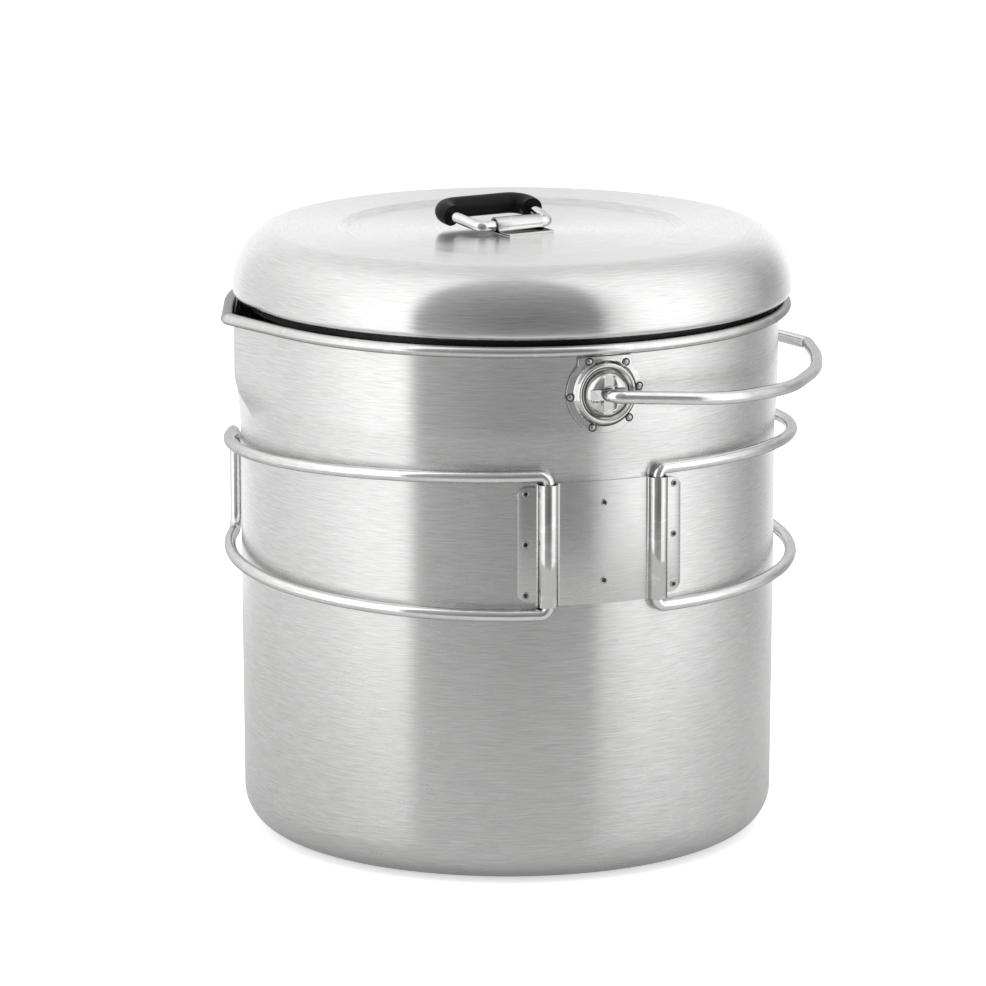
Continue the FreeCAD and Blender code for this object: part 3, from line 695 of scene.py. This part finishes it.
# -------- bail ears
def ear_reach(phi):
    """How far the ear's plate reaches from the pivot at an angle from level."""
    c, s = abs(math.cos(phi)), math.sin(phi)
    neck = EAR_NECK_HALF / c if c > 1e-6 and s > 0 else 0.0
    reach = max(EAR_R, neck)
    return min(reach, EAR_TOP / s) if s > 1e-6 else reach


def ear_height(rho, phi):
    height = eased(EAR_RISE, rho, EAR_BLEND)
    if rho < EAR_DOME_R:
        u, v = rho * math.cos(phi), rho * math.sin(phi)
        off = min(abs(u), abs(v)) - EAR_GROOVE_HALF
        dip = EAR_GROOVE_H + max(0.0, off / 0.5) * 1.2
        height = min(height, dip)
    return height


def make_ear(name, material, half_turn):
    """A pressed plate with a raised ring and a domed boss with crossed grooves."""
    count = 120
    radii = [EAR_HOLE_R] + steps(1.8, EAR_ROUND_R, 50) + [8.2, 8.7, 9.2, 9.6]
    edge = 0.15

    def ear_ring(rho, height, outer=False, shrink=0.0):
        ring = []
        for i in range(count):
            phi = 2 * math.pi * i / count
            reach = ear_reach(phi) - shrink
            r = reach if outer else rho
            if not outer and rho >= EAR_ROUND_R:
                r = EAR_ROUND_R + (rho - EAR_ROUND_R) * (reach - EAR_ROUND_R) / (EAR_R - EAR_ROUND_R)
            u, v = r * math.cos(phi), r * math.sin(phi)
            wall = wall_radius(PIVOT_Z + v)
            flat = max(0.0, min(1.0, (8.1 - r) / 0.9))
            base = math.sqrt(wall ** 2 - u ** 2) * (1 - flat) + wall * flat
            lift = ear_height(r, phi) if height is None else height
            ring.append(Vector((u, -(base + lift), PIVOT_Z + v)))
        return ring

    rings = [ear_ring(EAR_HOLE_R, 2.5)] + [ear_ring(r, None) for r in radii]
    rings.append(ear_ring(0, STRAP_SHEET, True, edge))
    rings.append(ear_ring(0, STRAP_SHEET - edge * 0.3, True, edge * 0.3))
    rings.append(ear_ring(0, STRAP_SHEET - edge, True))
    rings.append(ear_ring(0, 0.0, True))
    rings += [ear_ring(r, h) for r, h in ((7.6, 0.0), (6.6, 0.0), (6.6, 0.3), (3.8, 0.3), (3.0, 2.5))]
    if half_turn:
        rings = [[Vector((-p.x, -p.y, p.z)) for p in ring] for ring in rings]
    return skin(name, rings, material, "loop")


def weld_piece(name, spots, tree, values):
    """Weld marks at a list of (place, outward direction)."""
    piece = add_piece(name, [place for place, _ in spots], [], values["Button Finish"])
    outward = piece.data.attributes.new("outward", "FLOAT_VECTOR", "POINT")
    for item, (_, direction) in zip(outward.data, spots):
        item.vector = direction
    return run_tree(piece, tree, values)


def ear_weld_spots(half_turn):
    spots = []
    for angle in EAR_WELD_ANGLES:
        a = math.radians(angle)
        x, z = EAR_WELD_RING * math.cos(a), PIVOT_Z + EAR_WELD_RING * math.sin(a)
        base = wall_radius(z) + STRAP_SHEET
        turn = math.degrees(math.asin(x / base)) + half_turn
        spots.append((polar(base, turn, z), polar(1.0, turn)))
    return spots


def bracket_weld_spots():
    base = WALL_R_BAND + STRAP_SHEET
    spots = []
    for deg, heights in ((-FLANGE_WELD_DEG, FLANGE_WELD_Z), (FLANGE_WELD_DEG, FLANGE_WELD_Z),
                         (0.0, MIDDLE_WELD_Z)):
        spots += [(polar(base, deg, z), polar(1.0, deg)) for z in heights]
    return spots


# -------- handle bracket
def make_bracket(material, barrel_material):
    """One strip of sheet: flange, hinge barrel, middle, hinge barrel, flange."""
    outer = WALL_R_BAND + STRAP_SHEET
    foot_deg = math.degrees(math.asin((BARREL_R + BARREL_FOOT) / outer))

    def barrel(deg):
        out, side = polar(1.0, deg), polar(1.0, deg + 90)
        line = []
        for t in steps(0.0, 90.0, 6):
            s, c = sin_cos(t)
            line.append((outer + BARREL_FOOT * (1 - c), -(BARREL_R + BARREL_FOOT) + BARREL_FOOT * s))
        for t in steps(0.0, 180.0, 28):
            s, c = sin_cos(t)
            line.append((BARREL_AXIS_R + BARREL_R * s, -BARREL_R * c))
        line += [(o, -w) for o, w in reversed(line[:7])]
        return [out * o + side * w for o, w in line]

    end_deg = BARREL_DEG + foot_deg
    run = math.radians(STRAP_HALF_DEG - end_deg) * outer
    flange = [0.0, 0.1, 0.35, 0.75, 1.3, 2.0, STRAP_CORNER] + steps(STRAP_CORNER, run, 3)[1:]
    path, ends = [], []
    for d in flange:
        path.append(polar(outer, -STRAP_HALF_DEG + math.degrees(d / outer)))
        ends.append(d)
    path += barrel(-BARREL_DEG)
    path += [polar(outer, t) for t in steps(-BARREL_DEG + foot_deg, BARREL_DEG - foot_deg, 24)[1:-1]]
    path += barrel(BARREL_DEG)
    for d in reversed(flange):
        path.append(polar(outer, STRAP_HALF_DEG - math.degrees(d / outer)))
    ends += [None] * (len(path) - 2 * len(flange)) + list(reversed(flange))
    normals = path_normals(path, Vector((0, 0, 1)))
    stations = []
    for point, normal, d in zip(path, normals, ends):
        low, high = STRAP_Z if d is None else STRAP_FLANGE_Z
        if d is not None and d < STRAP_CORNER:
            trim = STRAP_CORNER - math.sqrt(STRAP_CORNER ** 2 - (STRAP_CORNER - d) ** 2)
            low, high = low + trim, high - trim
        stations.append((point, normal, low, high))
    bracket = strip("handle_bracket_steel", stations, Vector((0, 0, 1)), STRAP_SHEET, 0.14, material)
    return second_finish(bracket, barrel_material,
                         lambda p: math.hypot(p.x, p.y) > (outer + BARREL_FINISH_EDGE) * MM)


# -------- wires
def wire_piece(name, path, diameter, material, tree, sides=28, closed=False):
    edges = [(i, i + 1) for i in range(len(path) - 1)]
    if closed:
        edges.append((len(path) - 1, 0))
    piece = add_piece(name, path, [], material, edges)
    return run_tree(piece, tree, {"Wire Diameter": diameter * MM, "Sides": sides, "Finish": material})


def handle_path():
    """Half of the left handle's centre line, from its end in the barrel to its far side."""
    hinge = polar(BARREL_AXIS_R, -BARREL_DEG)
    tangent = polar(1.0, -BARREL_DEG - 90)
    up = Vector((0, 0, 1))
    root = hinge + up * (HANDLE_MID_Z + HANDLE_HALF_ROOT)
    path = [hinge + up * (HANDLE_MID_Z + HANDLE_END_GAP / 2)]
    bend_centre = root - up * HANDLE_BEND + tangent * HANDLE_BEND
    path += arc_points(bend_centre, root - up * HANDLE_BEND, up.cross(tangent), 90.0, 8)
    start = path[-1]
    end = polar(HANDLE_END_R, -BARREL_DEG - HANDLE_REACH_DEG, HANDLE_MID_Z + HANDLE_HALF_END)
    chord = end - start
    normal = (chord - tangent * chord.dot(tangent)).normalized()
    radius = chord.length_squared / (2 * chord.dot(normal))
    centre = start + normal * radius
    turn = math.degrees((start - centre).angle(end - centre))
    if (end - centre).dot(tangent) < 0:
        turn = 360.0 - turn
    axis = (start - centre).cross(tangent)
    path += arc_points(centre, start, axis, turn, 110)[1:]
    away = Matrix.Rotation(math.radians(turn), 3, axis) @ tangent
    down = Vector((0, 0, -1))
    bend = away.angle(down)
    corner = end + away * (HANDLE_FAR_BEND * math.tan(bend / 2))
    inward = (down - away).normalized()
    far_centre = corner + inward * (HANDLE_FAR_BEND / math.cos(bend / 2))
    path += arc_points(far_centre, end, away.cross(down), math.degrees(bend), 14)[1:]
    return path


def make_left_path():
    upper = handle_path()
    lower = [Vector((p.x, p.y, 2 * HANDLE_MID_Z - p.z)) for p in reversed(upper)]
    return upper + lower


def make_right_path():
    hinge = polar(BARREL_AXIS_R, BARREL_DEG)
    turn = Matrix.Rotation(math.radians(-RIGHT_HANDLE_OPEN), 3, "Z")
    return [hinge + turn @ (Vector((-p.x, p.y, p.z)) - hinge) for p in make_left_path()]


def make_bail_path():
    half = [Vector((u, -v, 0)) for u, v in BAIL_PATH]
    whole = half + [Vector((p.x, -p.y, 0)) for p in reversed(half[:-1])]
    tilt = Matrix.Rotation(math.radians(BAIL_REST), 3, "Y")
    return [tilt @ p + Vector((0, 0, PIVOT_Z)) for p in rounded_path(whole, BAIL_BENDS, 26)]


def make_bail_heads(material):
    """The flattened heads that keep the bail's ends in its ears."""
    heads = []
    for side in (-1, 1):
        start = WALL_R_TOP + BAIL_HEAD_GAP
        profile = [(0.0, 0.0), (BAIL_HEAD_R - 0.3, 0.0), (BAIL_HEAD_R, 0.3),
                   (BAIL_HEAD_R, BAIL_HEAD_T - 0.3), (BAIL_HEAD_R - 0.3, BAIL_HEAD_T), (0.0, BAIL_HEAD_T)]
        rings = []
        for radius, depth in profile:
            ring = [Vector((radius * math.cos(t), side * (start + depth), PIVOT_Z + radius * math.sin(t)))
                    for t in steps(0, 2 * math.pi, 32)[:-1]]
            rings.append(ring if radius else ring[:1])
        heads.append(skin("bail_head", rings, material))
    return heads


def joined(name, pieces):
    """Put several pieces into one mesh."""
    bm = bmesh.new()
    for piece in pieces:
        bm.from_mesh(piece.data)
    mesh = bpy.data.meshes.new(name)
    for material in pieces[0].data.materials:
        mesh.materials.append(material)
    bm.to_mesh(mesh)
    bm.free()
    for piece in pieces:
        bpy.data.objects.remove(piece)
    whole = bpy.data.objects.new(name, mesh)
    bpy.context.scene.collection.objects.link(whole)
    return whole


# -------- the lid's ring
def with_lid(point, lift):
    """Turn a point of the lid's handle to its place; lift slopes the ring on its hinge."""
    axis = Vector((0, RING_AXIS_Y, RING_AXIS_Z))
    point = axis + Matrix.Rotation(math.radians(RING_REST if lift else 0.0), 3, "X") @ (point - axis)
    return LID_CENTRE + Matrix.Rotation(math.radians(CLIP_TURN), 3, "Z") @ point


def ring_corners():
    half, x = RING_WIDTH / 2, CLIP_SIDE + RING_SIDE_PLAY
    near, far = RING_AXIS_Y, RING_AXIS_Y + RING_REACH
    return [Vector((px, py, RING_AXIS_Z)) for px, py in (
        (x, near), (x + half, near), (x + half + RING_SPREAD, far), (x - half - RING_SPREAD, far),
        (x - half, near), (x, near))]


def make_ring_path():
    path = rounded_path(ring_corners(), [RING_ROOT_BEND, RING_CORNER, RING_CORNER, RING_ROOT_BEND], 12)
    return [with_lid(p, True) for p in path[:-1]]


def make_sleeve_path():
    corners = ring_corners()
    lean = math.atan2(RING_SPREAD, RING_REACH)
    leg = RING_CORNER * math.tan(math.radians(45) + lean / 2) + SLEEVE_LEG
    first = corners[2] + (corners[1] - corners[2]).normalized() * leg
    last = corners[3] + (corners[4] - corners[3]).normalized() * leg
    path = rounded_path([first, corners[2], corners[3], last], [RING_CORNER, RING_CORNER], 14)
    return [with_lid(p, True) for p in path]


def make_clip(material):
    """A strip folded round the ring's wire, its two ends laid flat on the lid."""
    centre = Vector((0, RING_AXIS_Y, RING_AXIS_Z))
    rise = CLIP_BARREL_R - CLIP_TAB_T - CLIP_FILLET
    run = math.sqrt((CLIP_BARREL_R + CLIP_FILLET) ** 2 - rise ** 2)
    fillet = centre + Vector((0, -run, -rise))
    across = Vector((1, 0, 0))
    path = [Vector((0, CLIP_TAB_Y, PANEL_Z + CLIP_TAB_T)),
            Vector((0, CLIP_TAB_Y + 4, PANEL_Z + CLIP_TAB_T))]
    turn = math.degrees(math.atan2(run, rise))
    path += arc_points(fillet, fillet - Vector((0, 0, CLIP_FILLET)), across, turn, 8)
    start = centre + (fillet - centre).normalized() * CLIP_BARREL_R
    sweep = 360.0 - (90.0 - math.degrees(math.atan2(rise, run)))
    path += arc_points(centre, start, -across, sweep, 40)[1:]
    path.append(Vector((0, CLIP_TAB_Y, PANEL_Z)))
    normals = [-n for n in path_normals(path, across)]
    low, high = CLIP_SIDE - CLIP_LENGTH / 2, CLIP_SIDE + CLIP_LENGTH / 2
    origin = with_lid(Vector(), False)
    stations = [(with_lid(p, False), with_lid(n, False) - origin, low, high) for p, n in zip(path, normals)]
    across = with_lid(across, False) - origin
    return strip("lid_clip_steel", stations, across, CLIP_LAYER, 0.1, material)


# -------- camera, floor and light
CAMERA_TURN, CAMERA_RISE, CAMERA_DISTANCE = -20.0, 12.02, 1.524
CAMERA_LENS, CAMERA_SENSOR = 219.7, 36.0
LOOK_SIDE, LOOK_Z = -0.003647, 0.084233
FLOOR_SIDE, FLOOR_Z = 3000.0, -0.15
FLOOR_SHEET_R, FLOOR_SHEET_Z, FLOOR_SHEET_SIDES = 280.0, -0.1, 72


def make_camera():
    turn, rise = math.radians(CAMERA_TURN), math.radians(CAMERA_RISE)
    target = Vector((LOOK_SIDE * math.cos(turn), LOOK_SIDE * math.sin(turn), LOOK_Z))
    away = Vector((math.sin(turn) * math.cos(rise), -math.cos(turn) * math.cos(rise), math.sin(rise)))
    data = bpy.data.cameras.new("camera")
    data.lens, data.sensor_width = CAMERA_LENS, CAMERA_SENSOR
    data.clip_start, data.clip_end = 0.05, 50.0
    camera = bpy.data.objects.new("camera", data)
    camera.location = target + away * CAMERA_DISTANCE
    camera.rotation_euler = away.to_track_quat("Z", "Y").to_euler()
    bpy.context.scene.collection.objects.link(camera)
    bpy.context.scene.camera = camera


def paper(name, greys, glow):
    """Matt white paper that glows a little, so the pot's shadow on it stays faint."""
    material, tree, shader = start_material(name, {
        "Specular IOR Level": 0.0, "Emission Color": tint(1.0), "Emission Strength": glow})
    fibre = node(tree, "ShaderNodeTexNoise", {"Vector": object_place(tree), "Scale": 9.0, "Detail": 3.0})
    feed(tree, shader, {"Base Color": grey_range(tree, fibre.outputs[0], *greys),
                        "Roughness": spread(tree, fibre.outputs[0], 0.85, 0.95)})
    return material


def make_floor():
    """A wide white floor, and a small grey sheet under the pot, seen only in the steel's reflections, that paints
    the shade of the floor near the pot into the wall.
    """
    corners = [Vector((x * FLOOR_SIDE, y * FLOOR_SIDE, FLOOR_Z)) for x, y in ((-1, -1), (1, -1), (1, 1), (-1, 1))]
    floor = add_piece("floor", corners, [(0, 1, 2, 3)], paper("floor_paper", (0.90, 0.93), 0.5))
    floor.visible_glossy = False
    edge = [polar(FLOOR_SHEET_R, t, FLOOR_SHEET_Z) for t in steps(0.0, 360.0, FLOOR_SHEET_SIDES)[:-1]]
    # The sheet's grey and faint glow are a painted reflection of shade: the wall darkens towards its base as the
    # shaded floor near the pot would make it.
    sheet = add_piece("shade_reflection_sheet", edge, [tuple(range(FLOOR_SHEET_SIDES))],
                      paper("shade_reflection_paper", (0.36, 0.38), 0.22))
    sheet.visible_camera = False
    sheet.visible_diffuse = False
    sheet.visible_shadow = False


# How bright the room is round the pot, by angle from the camera's side: bright walls left
# and right, a dark gap in front and a white backdrop behind. One list at each height.
ROOM_LOW = [(-180, 1.1), (-155, 1.15), (-139, 0.95), (-116, 0.95), (-99, 1.05), (-84, 1.15), (-65, 1.52),
            (-47, 1.6), (-43, 1.5), (-39, 0.42), (-26, 0.34), (-10, 0.26), (0, 0.22), (15, 0.22),
            (35, 0.26), (41, 0.9), (53, 1.4), (60, 1.55), (78, 1.52), (92, 1.2), (108, 0.8), (128, 0.45),
            (141, 0.55), (160, 1.1), (180, 1.1)]
ROOM_MIDDLE = [(-180, 0.95), (-130, 1.1), (-90, 1.35), (-43, 1.45), (-39, 0.5), (-15, 0.36), (15, 0.34),
               (36, 0.38), (42, 1.05), (55, 1.4), (90, 1.35), (130, 0.85), (180, 0.95)]
ROOM_HIGH = [(-180, 0.85), (-90, 1.15), (-44, 1.35), (-38, 0.7), (0, 0.6), (36, 0.66), (44, 1.2), (90, 1.2),
             (180, 0.85)]
ROOM_FLOOR = [(-180, 1.05), (-120, 0.9), (-80, 1.3), (-43, 1.42), (-39, 0.62), (0, 0.5), (37, 0.52),
              (42, 1.15), (80, 1.25), (120, 0.5), (180, 1.05)]
ROOM_TOP = 1.7                              # above every level in the lists
ROOM_ZENITH, ROOM_NADIR = 0.95, 0.25
BACKDROP_LEVEL = 1.05                       # the white that the camera sees past the floor


def ramp_from(tree, value, stops, top):
    ramp = node(tree, "ShaderNodeValToRGB", {0: value})
    elements = ramp.color_ramp.elements
    for i, (position, level) in enumerate(stops):
        item = elements[i] if i < 2 else elements.new(position)
        item.position = position
        item.color = tint(level / top)
    return ramp.outputs[0]


def make_world():
    world = bpy.data.worlds.new("studio")
    bpy.context.scene.world = world
    world.use_nodes = True
    tree = world.node_tree
    tree.nodes.clear()
    look = node(tree, "ShaderNodeTexCoord").outputs["Generated"]
    turn = math.radians(CAMERA_TURN)
    front = vector_maths(tree, "DOT_PRODUCT", look, (math.sin(turn), -math.cos(turn), 0.0))["Value"]
    right = vector_maths(tree, "DOT_PRODUCT", look, (math.cos(turn), math.sin(turn), 0.0))["Value"]
    around = node(tree, "ShaderNodeMapRange", {
        "Value": maths(tree, "ARCTAN2", right, front), "From Min": -math.pi, "From Max": math.pi}).outputs[0]
    low, middle, high, floor = [
        ramp_from(tree, around, [((a + 180) / 360, level) for a, level in [stops[0], stops[-1]] + stops[1:-1]],
                  ROOM_TOP) for stops in (ROOM_LOW, ROOM_MIDDLE, ROOM_HIGH, ROOM_FLOOR)]
    height = node(tree, "ShaderNodeSeparateXYZ", {0: look}).outputs["Z"]
    climb = maths(tree, "ARCSINE", height)
    zenith, nadir = tint(ROOM_ZENITH / ROOM_TOP), tint(ROOM_NADIR / ROOM_TOP)
    room = low
    for other, start, end in ((middle, 5, 40), (high, 40, 75), (zenith, 75, 90), (floor, -1, -24),
                              (nadir, -40, -90)):
        share = node(tree, "ShaderNodeMapRange", {
            "Value": climb, "From Min": math.radians(start), "From Max": math.radians(end)}).outputs[0]
        room = node(tree, "ShaderNodeMix", {0: share, 6: room, 7: other}, data_type="RGBA").outputs[2]
    light = node(tree, "ShaderNodeBackground", {"Color": room, "Strength": ROOM_TOP})
    backdrop = node(tree, "ShaderNodeBackground", {"Color": tint(1.0), "Strength": BACKDROP_LEVEL})
    seen = node(tree, "ShaderNodeLightPath").outputs["Is Camera Ray"]
    both = node(tree, "ShaderNodeMixShader", {0: seen, 1: light.outputs[0], 2: backdrop.outputs[0]})
    output = tree.nodes.new("ShaderNodeOutputWorld")
    tree.links.new(both.outputs[0], output.inputs[0])


def make_lamp(name, place, size, power, glossy):
    """A large soft square lamp that points at the middle of the pot."""
    data = bpy.data.lights.new(name, "AREA")
    data.size, data.energy = size, power
    lamp = bpy.data.objects.new(name, data)
    lamp.location = Vector(place)
    lamp.rotation_euler = (Vector(place) - Vector((0, 0, 0.08))).to_track_quat("Z", "Y").to_euler()
    lamp.visible_glossy = glossy
    bpy.context.scene.collection.objects.link(lamp)


# -------- build everything
SPUN_GRAIN = make_spun_grain()
HANDLING_MARKS = make_handling_marks()
DRAWN_LINES = make_drawn_lines()


def main():
    pot_axis = Vector()
    body_steel = spun_steel("body_spun_steel", 1.0, (0.58, 0.79), 0.25, 0.00004, pot_axis)
    lid_steel = spun_steel("lid_spun_steel", -1.0, (0.59, 0.79), 0.19, 0.00004, LID_CENTRE)
    # The skirt's near-black greys are painted shade, for the dark gap under the lid's lip.
    skirt_shade_steel = spun_steel("lid_skirt_painted_shade", -1.0, (0.07, 0.14), 0.35, 0.00004, LID_CENTRE)
    bracket_steel = spun_steel("bracket_brushed_steel", 1.0, (0.58, 0.72), 0.27, 0.00004, pot_axis)
    # The low edge tints are painted shade: they darken the grazing reflections into dark outlines, most on the
    # ears, clip and barrels.
    ear_steel = pressed_steel("pressed_bright_steel", (0.64, 0.74), 0.06, 0.12, 0.08)
    rim_steel = pressed_steel("rolled_rim_steel", (0.68, 0.76), 0.08, 0.4, 0.02)
    wire_steel = drawn_steel("polished_wire_steel")
    weld_bright = burnt_steel("weld_button_steel", (0.45, 0.65), 0.22)
    weld_dark = burnt_steel("weld_oxide", (0.05, 0.14), 0.40)
    rubber = black_rubber()

    wire_tree = make_wire_tree()
    weld_tree = make_weld_tree()
    ear_weld = {"Button Radius": 0.8 * MM, "Button Height": 0.35 * MM, "Ring Wire": 0.16 * MM,
                "Button Finish": weld_bright, "Ring Finish": weld_dark}
    strap_weld = {"Button Radius": 0.62 * MM, "Button Height": 0.12 * MM, "Ring Wire": 0.2 * MM,
                  "Button Finish": weld_dark, "Ring Finish": weld_bright}

    bail = wire_piece("bail_bent_wire", make_bail_path(), BAIL_WIRE, wire_steel, wire_tree)
    bail = joined("bail_bent_wire", [bail] + make_bail_heads(wire_steel))
    pieces = [
        (make_pot_body(body_steel, rim_steel), "pot", "pot_body", "body_steel"),
        (make_lid(lid_steel, skirt_shade_steel), "lid", "lid_shell", "lid_steel"),
        (make_ear("front_ear_pressing", ear_steel, False), "pot", "front_bail_ear", "polished_steel"),
        (make_ear("rear_ear_pressing", ear_steel, True), "pot", "rear_bail_ear", "polished_steel"),
        (weld_piece("front_ear_weld_marks", ear_weld_spots(0.0), weld_tree, ear_weld),
         "pot", "front_ear_welds", "weld_steel"),
        (weld_piece("rear_ear_weld_marks", ear_weld_spots(180.0), weld_tree, ear_weld),
         "pot", "rear_ear_welds", "weld_steel"),
        (make_bracket(bracket_steel, ear_steel), "pot", "handle_bracket", "bracket_steel"),
        (weld_piece("bracket_weld_marks", bracket_weld_spots(), weld_tree, strap_weld),
         "pot", "bracket_welds", "weld_steel"),
        (wire_piece("left_handle_bent_wire", make_left_path(), HANDLE_WIRE, wire_steel, wire_tree),
         "left_handle", "left_handle_wire", "wire_steel"),
        (wire_piece("right_handle_bent_wire", make_right_path(), HANDLE_WIRE, wire_steel, wire_tree),
         "right_handle", "right_handle_wire", "wire_steel"),
        (bail, "bail", "bail_wire", "wire_steel"),
        (make_clip(ear_steel), "lid", "lid_clip", "polished_steel"),
        (wire_piece("lid_ring_bent_wire", make_ring_path(), RING_WIRE, wire_steel, wire_tree, closed=True),
         "lid_ring", "lid_ring_wire", "wire_steel"),
        (wire_piece("lid_ring_rubber_sleeve", make_sleeve_path(), SLEEVE_D, rubber, wire_tree, 36),
         "lid_ring", "lid_ring_sleeve", "sleeve_rubber"),
    ]
    for piece, body, replaced, slot in pieces:
        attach(piece, body)
        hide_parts(replaced)

    make_camera()
    make_floor()
    make_world()
    make_lamp("floor_wash", (0.0, 0.0, 1.6), 1.6, 14.0, False)
    bpy.context.scene.view_settings.view_transform = "Standard"


main()
